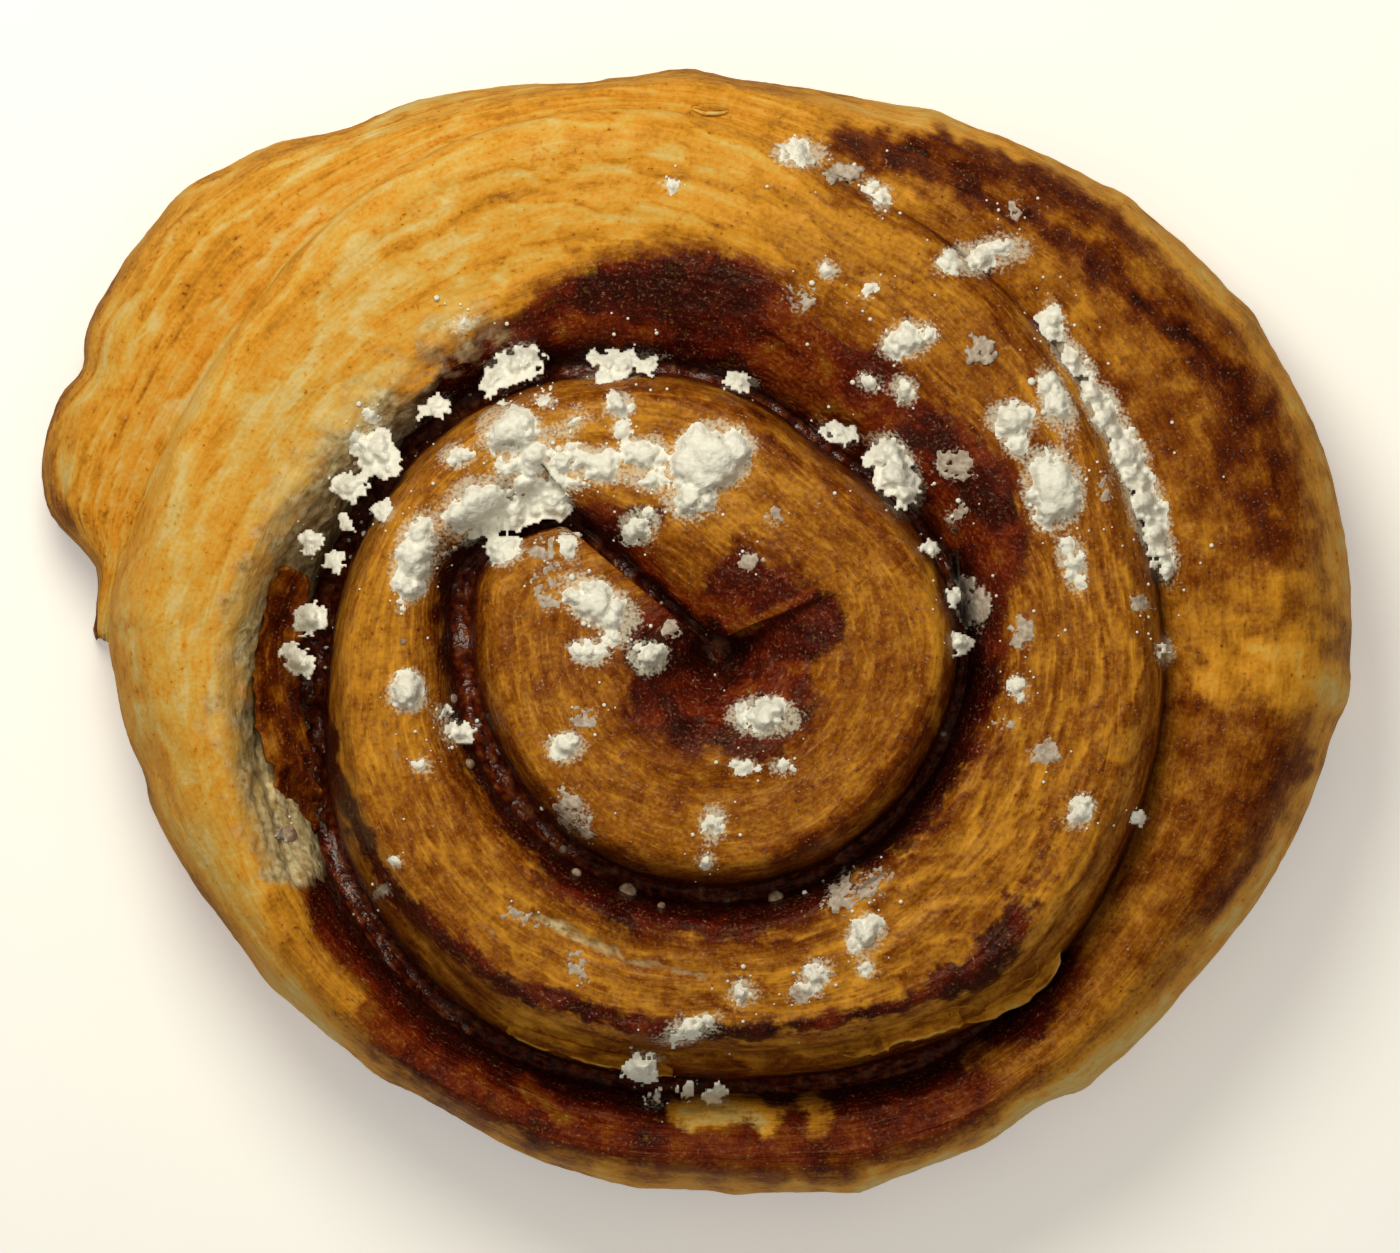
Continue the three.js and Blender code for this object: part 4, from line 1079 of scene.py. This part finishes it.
def surfaceFinder(*meshes):
    bm = bmesh.new()
    for mesh in meshes:
        bm.from_mesh(mesh)
    tree = BVHTree.FromBMesh(bm)
    bm.free()

    def surface(x, y):
        hit = tree.ray_cast(spotAt(x, y, 60), Vector((0, 0, -1)))[0]
        return None if hit is None or hit.z < 3 * mm else hit.z / mm
    return surface


def linear(hexColour):
    parts = [int(hexColour[i:i + 2], 16) / 255 for i in (1, 3, 5)]
    return tuple(p / 12.92 if p <= 0.04045 else ((p + 0.055) / 1.055) ** 2.4 for p in parts) + (1,)


def addNode(tree, kind, inputs, output=0, stops=(), **settings):
    node = tree.nodes.new(kind)
    for key, value in settings.items():
        setattr(node, key, value)
    for key, value in inputs.items():
        if isinstance(value, bpy.types.NodeSocket):
            tree.links.new(value, node.inputs[key])
        else:
            node.inputs[key].default_value = value
    for i, (place, colour) in enumerate(stops):
        element = node.color_ramp.elements[i] if i < 2 else node.color_ramp.elements.new(place)
        element.position = place
        element.color = linear(colour)
    return node.outputs[output] if node.outputs else node


def newMaterial(name, inputs):
    material = bpy.data.materials.new(name)
    material.use_nodes = True
    tree = material.node_tree
    tree.nodes.clear()
    surface = addNode(tree, "ShaderNodeBsdfPrincipled", inputs)
    addNode(tree, "ShaderNodeOutputMaterial", {"Surface": surface})
    return material, tree, surface.node


bakedDough = {
    "crust": [(0, "#DFC27E"), (0.14, "#DDAE50"), (0.28, "#DD982C"), (0.42, "#BE7F1F"), (0.55, "#985809"),
              (0.68, "#783A02"), (0.8, "#5C2203"), (0.92, "#401004"), (1, "#280803")],
    "filling": [(0, "#2C0602"), (0.35, "#500F02"), (0.6, "#6E2203"), (0.8, "#803A05"), (1, "#8A5812")],
    "crumb": [(0.3, "#87764F"), (0.45, "#B8A274"), (0.62, "#DCCCA2")],
    # The pin colour paints glints: pale dots on browned crust.
    "fleck": "#B08450", "paintedGlint": "#BC8A5C", "sugar": "#E8E4D2", "lighter": 0.08, "streaked": 0.2,
    "peppered": 0.2, "dryAlong": -0.2, "dryAcross": -0.04,
}
# Each pattern's coordinates, and how often it repeats in them: per mm along the strip, across it
# and up, or per metre. Specks of crust and powder are finer in life, and are drawn 0.3 to 0.4 mm
# wide so that they show.
doughPatterns = {
    "streak": ("strand", (0.1, 0.85, 0.25), 3), "fibre": ("strand", (0.26, 2.9, 0.7), 4),
    "crossed": ("strand", (0.9, 0.1, 0.3), 3), "dry": ("strand", (0.3, 2.1, 0.6), 4),
    "layer": ("strand", (0.07, 0.42, 0.12), 2), "fleck": ("strand", (2.2, 4.6, 3), 3),
    "cloud": ("place", (170, 170, 170), 2), "mottle": ("place", (520, 520, 520), 4),
    "speck": ("place", (2300, 2300, 2300), 2), "powder": ("place", (3300, 3300, 3300), 2),
}
# How strongly each pattern shades the crust and the filling, and how far it stands out.
doughShades = {
    "crust": {"layer": 0.05, "fibre": 0.17, "mottle": 0.34, "cloud": 0.27, "speck": 0.3},
    "filling": {"mottle": 1.1, "streak": 0.3, "speck": 0.9},
    "smear": {"mottle": 1.1, "speck": 0.7, "fibre": 0.4},
    "height": {"layer": -0.45, "fibre": 0.5, "mottle": 0.8, "speck": 0.6},
    "veil": {"powder": 2.2, "mottle": 1.2},
    "open": {"mottle": 1.2},
}
# Masks: the pattern or shade that each comes from, where it starts, where it is full, how strong.
doughMasks = {
    "dryStreaks": ("dry", 0.54, 0.66, 1), "pepper": ("speck", 0.69, 0.75, 1),
    # The pin dots are painted glints.
    "flecks": ("fleck", 0.5, 0.68, 0.45), "paintedGlints": ("powder", 0.6, 0.7, 0.28),
    "drops": ("speck", 0.62, 0.66, 0.9), "browned": ("bake", 0.3, 0.5, 1),
}
shadeMasks = {
    "golden": ("crustShade", 0.72, 0.52, 1), "bare": ("openShade", 0.3, 0.9, 1),
    "veil": ("veilShade", 0.5, 1.1, 0.6),
}


def addMasks(tree, value, masks):
    for name, (source, start, full, strength) in masks.items():
        value[name] = addNode(tree, "ShaderNodeMapRange", {
            "Value": value[source], "From Min": start, "From Max": full, "To Max": strength})


def addSum(tree, total, terms):
    # Adds each share times its strength to the total.
    for share, strength in terms:
        total = addNode(tree, "ShaderNodeMath", {0: share, 1: strength, 2: total},
                        operation="MULTIPLY_ADD")
    return total


def addProduct(tree, total, shares):
    for share in shares:
        total = addNode(tree, "ShaderNodeMath", {0: total, 1: share}, operation="MULTIPLY")
    return total


def doughValues(tree, place):
    # The crust's attributes, the noise patterns, and the masks and shades made of both.
    value = {name: addNode(tree, "ShaderNodeAttribute", {}, "Fac", attribute_name=name)
             for name in ("bake", "stain", "tone", "crumb", "dusting", "across")}
    strand = addNode(tree, "ShaderNodeAttribute", {}, "Vector", attribute_name="strand")
    for name, (where, scale, detail) in doughPatterns.items():
        spot = addNode(tree, "ShaderNodeMapping", {
            "Vector": strand if where == "strand" else place, "Scale": scale})
        value[name] = addNode(tree, "ShaderNodeTexNoise", {"Vector": spot, "Scale": 1, "Detail": detail},
                              "Fac")
    value["streak"] = addNode(tree, "ShaderNodeMix", {
        0: value["across"], 2: value["streak"], 3: value["crossed"]})
    edges = addProduct(tree, value["layer"], [8.0])
    value["layer"] = addNode(tree, "ShaderNodeMath", {0: edges}, operation="FRACT")
    addMasks(tree, value, doughMasks)
    layered = addNode(tree, "ShaderNodeMapRange", {
        "Value": value["across"], "From Max": 0.3, "To Min": bakedDough["dryAlong"],
        "To Max": bakedDough["dryAcross"]})
    dry = addProduct(tree, value["dryStreaks"], [value["bake"]])
    browned = addSum(tree, value["bake"], [
        (value["streak"], bakedDough["streaked"]), (dry, layered), (value["pepper"], bakedDough["peppered"])])
    start = {"crust": browned, "filling": value["tone"], "smear": value["stain"], "height": 0.0,
             "veil": value["dusting"], "open": value["crumb"]}
    for use, shares in doughShades.items():
        total = addSum(tree, start[use], [(value[name], share) for name, share in shares.items()])
        middle = 0.5 * sum(shares.values()) + (bakedDough["lighter"] if use == "crust" else 0)
        value[use + "Shade"] = addNode(tree, "ShaderNodeMath", {0: total, 1: middle}, operation="SUBTRACT")
    addMasks(tree, value, shadeMasks)
    value["smear"] = addNode(tree, "ShaderNodeMapRange", {
        "Value": value["smearShade"], "From Min": 0.12, "From Max": 0.88},
        interpolation_type="SMOOTHSTEP")
    return value


def bakedDoughMaterial():
    # Egg-washed laminated dough: satin, browned in soft streaks along its layers, sticky where smeared.
    material, tree, shader = newMaterial("egg_washed_laminated_dough", {
        "IOR": 1.45, "Specular IOR Level": 0.13, "Specular Tint": (1, 0.85, 0.62, 1),
        "Coat Roughness": 0.05, "Subsurface Weight": 0.15, "Subsurface Scale": 1,
        "Subsurface Radius": (0.0012, 0.0006, 0.0003)})
    place = addNode(tree, "ShaderNodeTexCoord", {}, "Object")
    value = doughValues(tree, place)
    smear, veil, bare = value["smear"], value["veil"], value["bare"]
    flecks = addProduct(tree, value["flecks"], [value["browned"], value["golden"]])
    # Pale pin dots on browned crust: painted glints.
    paintedGlints = addProduct(tree, value["paintedGlints"], [value["browned"]])
    pores = addNode(tree, "ShaderNodeTexNoise", {"Vector": place, "Scale": 1300, "Detail": 4}, "Fac")
    ramps = {"crust": value["crustShade"], "filling": value["fillingShade"], "crumb": pores}
    ramps = {name: addNode(tree, "ShaderNodeValToRGB", {"Fac": shade}, stops=bakedDough[name])
             for name, shade in ramps.items()}
    colour = ramps["crust"]
    for share, over in ((flecks, linear(bakedDough["fleck"])), (smear, ramps["filling"]),
                        (paintedGlints, linear(bakedDough["paintedGlint"])), (bare, ramps["crumb"]),
                        (veil, linear(bakedDough["sugar"]))):
        colour = addNode(tree, "ShaderNodeMix", {0: share, 6: colour, 7: over}, 2, data_type="RGBA")
    rough = addNode(tree, "ShaderNodeMapRange", {
        "Value": value["cloud"], "From Min": 0.35, "From Max": 0.65, "To Min": 0.3, "To Max": 0.5})
    rough = addSum(tree, rough, [(smear, -0.08), (veil, 0.6)])
    glaze = addProduct(tree, value["drops"], [value["browned"]])
    glaze = addSum(tree, glaze, [(smear, 0.15), (veil, -2.0), (bare, -1.0)])
    glaze.node.use_clamp = True
    height = addProduct(tree, value["heightShade"], [addSum(tree, 1.0, [(smear, 1.4)])])
    bump = addNode(tree, "ShaderNodeBump", {"Strength": 0.6, "Distance": 0.0002, "Height": height})
    drops = addNode(tree, "ShaderNodeBump", {
        "Strength": 1.0, "Distance": 0.0005, "Height": value["powder"], "Normal": bump})
    for socket, result in {"Base Color": colour, "Roughness": rough, "Coat Weight": glaze,
                           "Normal": bump, "Coat Normal": drops}.items():
        tree.links.new(result, shader.inputs[socket])
    return material


def addGrain(tree, shader, scale, detail, stops, strength=0, distance=0):
    # Fine noise that colours a material and stands out a little: repeats per metre, bump in metres.
    place = addNode(tree, "ShaderNodeTexCoord", {}, "Object")
    noise = addNode(tree, "ShaderNodeTexNoise", {"Vector": place, "Scale": scale, "Detail": detail}, "Fac")
    colour = addNode(tree, "ShaderNodeValToRGB", {"Fac": noise}, stops=stops)
    tree.links.new(colour, shader.inputs["Base Color"])
    if strength:
        bump = addNode(tree, "ShaderNodeBump", {"Strength": strength, "Distance": distance, "Height": noise})
        tree.links.new(bump, shader.inputs["Normal"])
    return noise, colour


def syrupMaterial():
    # Cinnamon syrup: dark brown sugar glaze with undissolved grains, wet and shiny.
    material, tree, shader = newMaterial("cinnamon_sugar_syrup", {"Roughness": 0.1, "IOR": 1.48})
    stops = [(0.36, "#340B04"), (0.52, "#5C1E09"), (0.66, "#7A3C16"), (0.8, "#8E6C42")]
    addGrain(tree, shader, 1300, 5, stops, 0.9, 0.0003)
    return material


def icingSugarMaterial():
    # Icing sugar: fine white powder in soft clumps, matt, and tan where it has drawn water. Its
    # grains are too fine to show, so the pattern is drawn 0.5 mm wide.
    material, tree, shader = newMaterial("clumped_icing_sugar", {"Specular IOR Level": 0.15})
    stops = [(0.3, "#E9E7DC"), (0.55, "#F5F4EE"), (0.7, "#FBFBF8")]
    powder, dry = addGrain(tree, shader, 1900, 4, stops, 0.7, 0.0003)
    wet = addNode(tree, "ShaderNodeAttribute", {}, "Fac", attribute_name="wet")
    stops = [(0.35, "#806052"), (0.65, "#BDA78F")]
    soaked = addNode(tree, "ShaderNodeValToRGB", {"Fac": powder}, stops=stops)
    colour = addNode(tree, "ShaderNodeMix", {0: wet, 6: dry, 7: soaked}, 2, data_type="RGBA")
    rough = addNode(tree, "ShaderNodeMapRange", {"Value": wet, "To Min": 0.95, "To Max": 0.45})
    tree.links.new(colour, shader.inputs["Base Color"])
    tree.links.new(rough, shader.inputs["Roughness"])
    return material


def lightTableMaterial():
    # White acrylic light table under the roll: plain, matt, and faintly lit from below.
    material, tree, shader = newMaterial("white_light_table", {
        "Roughness": 0.8, "Emission Color": (1, 1, 1, 1), "Emission Strength": 0.3})
    addGrain(tree, shader, 60, 2, [(0, "#F2F2F0"), (1, "#F6F6F4")])
    return material


# The view of the photo, from nearly straight above, and the lights: places and sizes in mm,
# energy in watts.
view = {"target": (0.3, 0.6, 14), "elevation": 89.4, "distance": 2000, "width": 129.0, "sensor": 36}
light = {
    "key": {"place": (-70, 170, 290), "size": 160, "energy": 0.74, "colour": "#FFFAE6", "mirrored": True},
    "fill": {"place": (40, -40, 900), "size": 900, "energy": 1.5, "colour": "#FFFAE6", "mirrored": False},
    "sky": 0.16, "skyColour": "#FFF4D8",
}


def addCamera():
    camera = bpy.data.objects.new("camera", bpy.data.cameras.new("camera"))
    scene.collection.objects.link(camera)
    lift = math.radians(view["elevation"])
    target = Vector(view["target"]) * mm
    away = Vector((0, -math.cos(lift), math.sin(lift)))
    camera.location = target + away * view["distance"] * mm
    camera.rotation_euler = away.to_track_quat("Z", "Y").to_euler()
    camera.data.sensor_width = view["sensor"]
    camera.data.lens = view["sensor"] * view["distance"] / view["width"]
    camera.data.clip_start = 0.01
    scene.camera = camera


def addLight(name, settings):
    lamp = bpy.data.lights.new(name, "AREA")
    lamp.shape = "DISK"
    lamp.size = settings["size"] * mm
    lamp.energy = settings["energy"]
    lamp.color = linear(settings["colour"])[:3]
    holder = bpy.data.objects.new(name, lamp)
    holder.visible_glossy = settings["mirrored"]
    scene.collection.objects.link(holder)
    holder.location = Vector(settings["place"]) * mm
    holder.rotation_euler = holder.location.to_track_quat("Z", "Y").to_euler()


def addSky():
    world = bpy.data.worlds.new("studio")
    world.use_nodes = True
    back = world.node_tree.nodes["Background"]
    back.inputs["Color"].default_value = linear(light["skyColour"])
    back.inputs["Strength"].default_value = light["sky"]
    scene.world = world


def addFloor():
    bm = bmesh.new()
    bmesh.ops.create_grid(bm, x_segments=1, y_segments=1, size=1.5)
    mesh = bpy.data.meshes.new("floor")
    bm.to_mesh(mesh)
    bm.free()
    floor = bpy.data.objects.new("floor", mesh)
    floor.visible_glossy = False
    scene.collection.objects.link(floor)
    mesh.materials.append(lightTableMaterial())


print("camera and light")
addCamera()
for name in ("key", "fill"):
    addLight(name, light[name])
addSky()
addFloor()
scene.view_settings.view_transform = "Standard"

print("crust")
dough = bakedDoughMaterial()
crustMesh = makeCrust()
addPiece("dough_crust", crustMesh, dough, "dough")
crustSurface = surfaceFinder(crustMesh)
for name, sheet in looseSheets.items():
    addPiece(name, makeSheet(name, sheet, crustSurface), dough)

print("filling")
syrupMesh = makeSyrup()
addPiece("cinnamon_syrup", syrupMesh, syrupMaterial(), "cinnamon_filling")
surface = surfaceFinder(crustMesh, syrupMesh)

print("icing sugar")
powder = icingSugarMaterial()
addPiece("icing_sugar_clumps", makeSugar(surface), powder)
addPiece("loose_sugar", makeGrains(surface), powder)

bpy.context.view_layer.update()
for piece in scene.objects:
    if piece.type == "MESH":
        print(piece.name, len(piece.data.polygons), "faces")
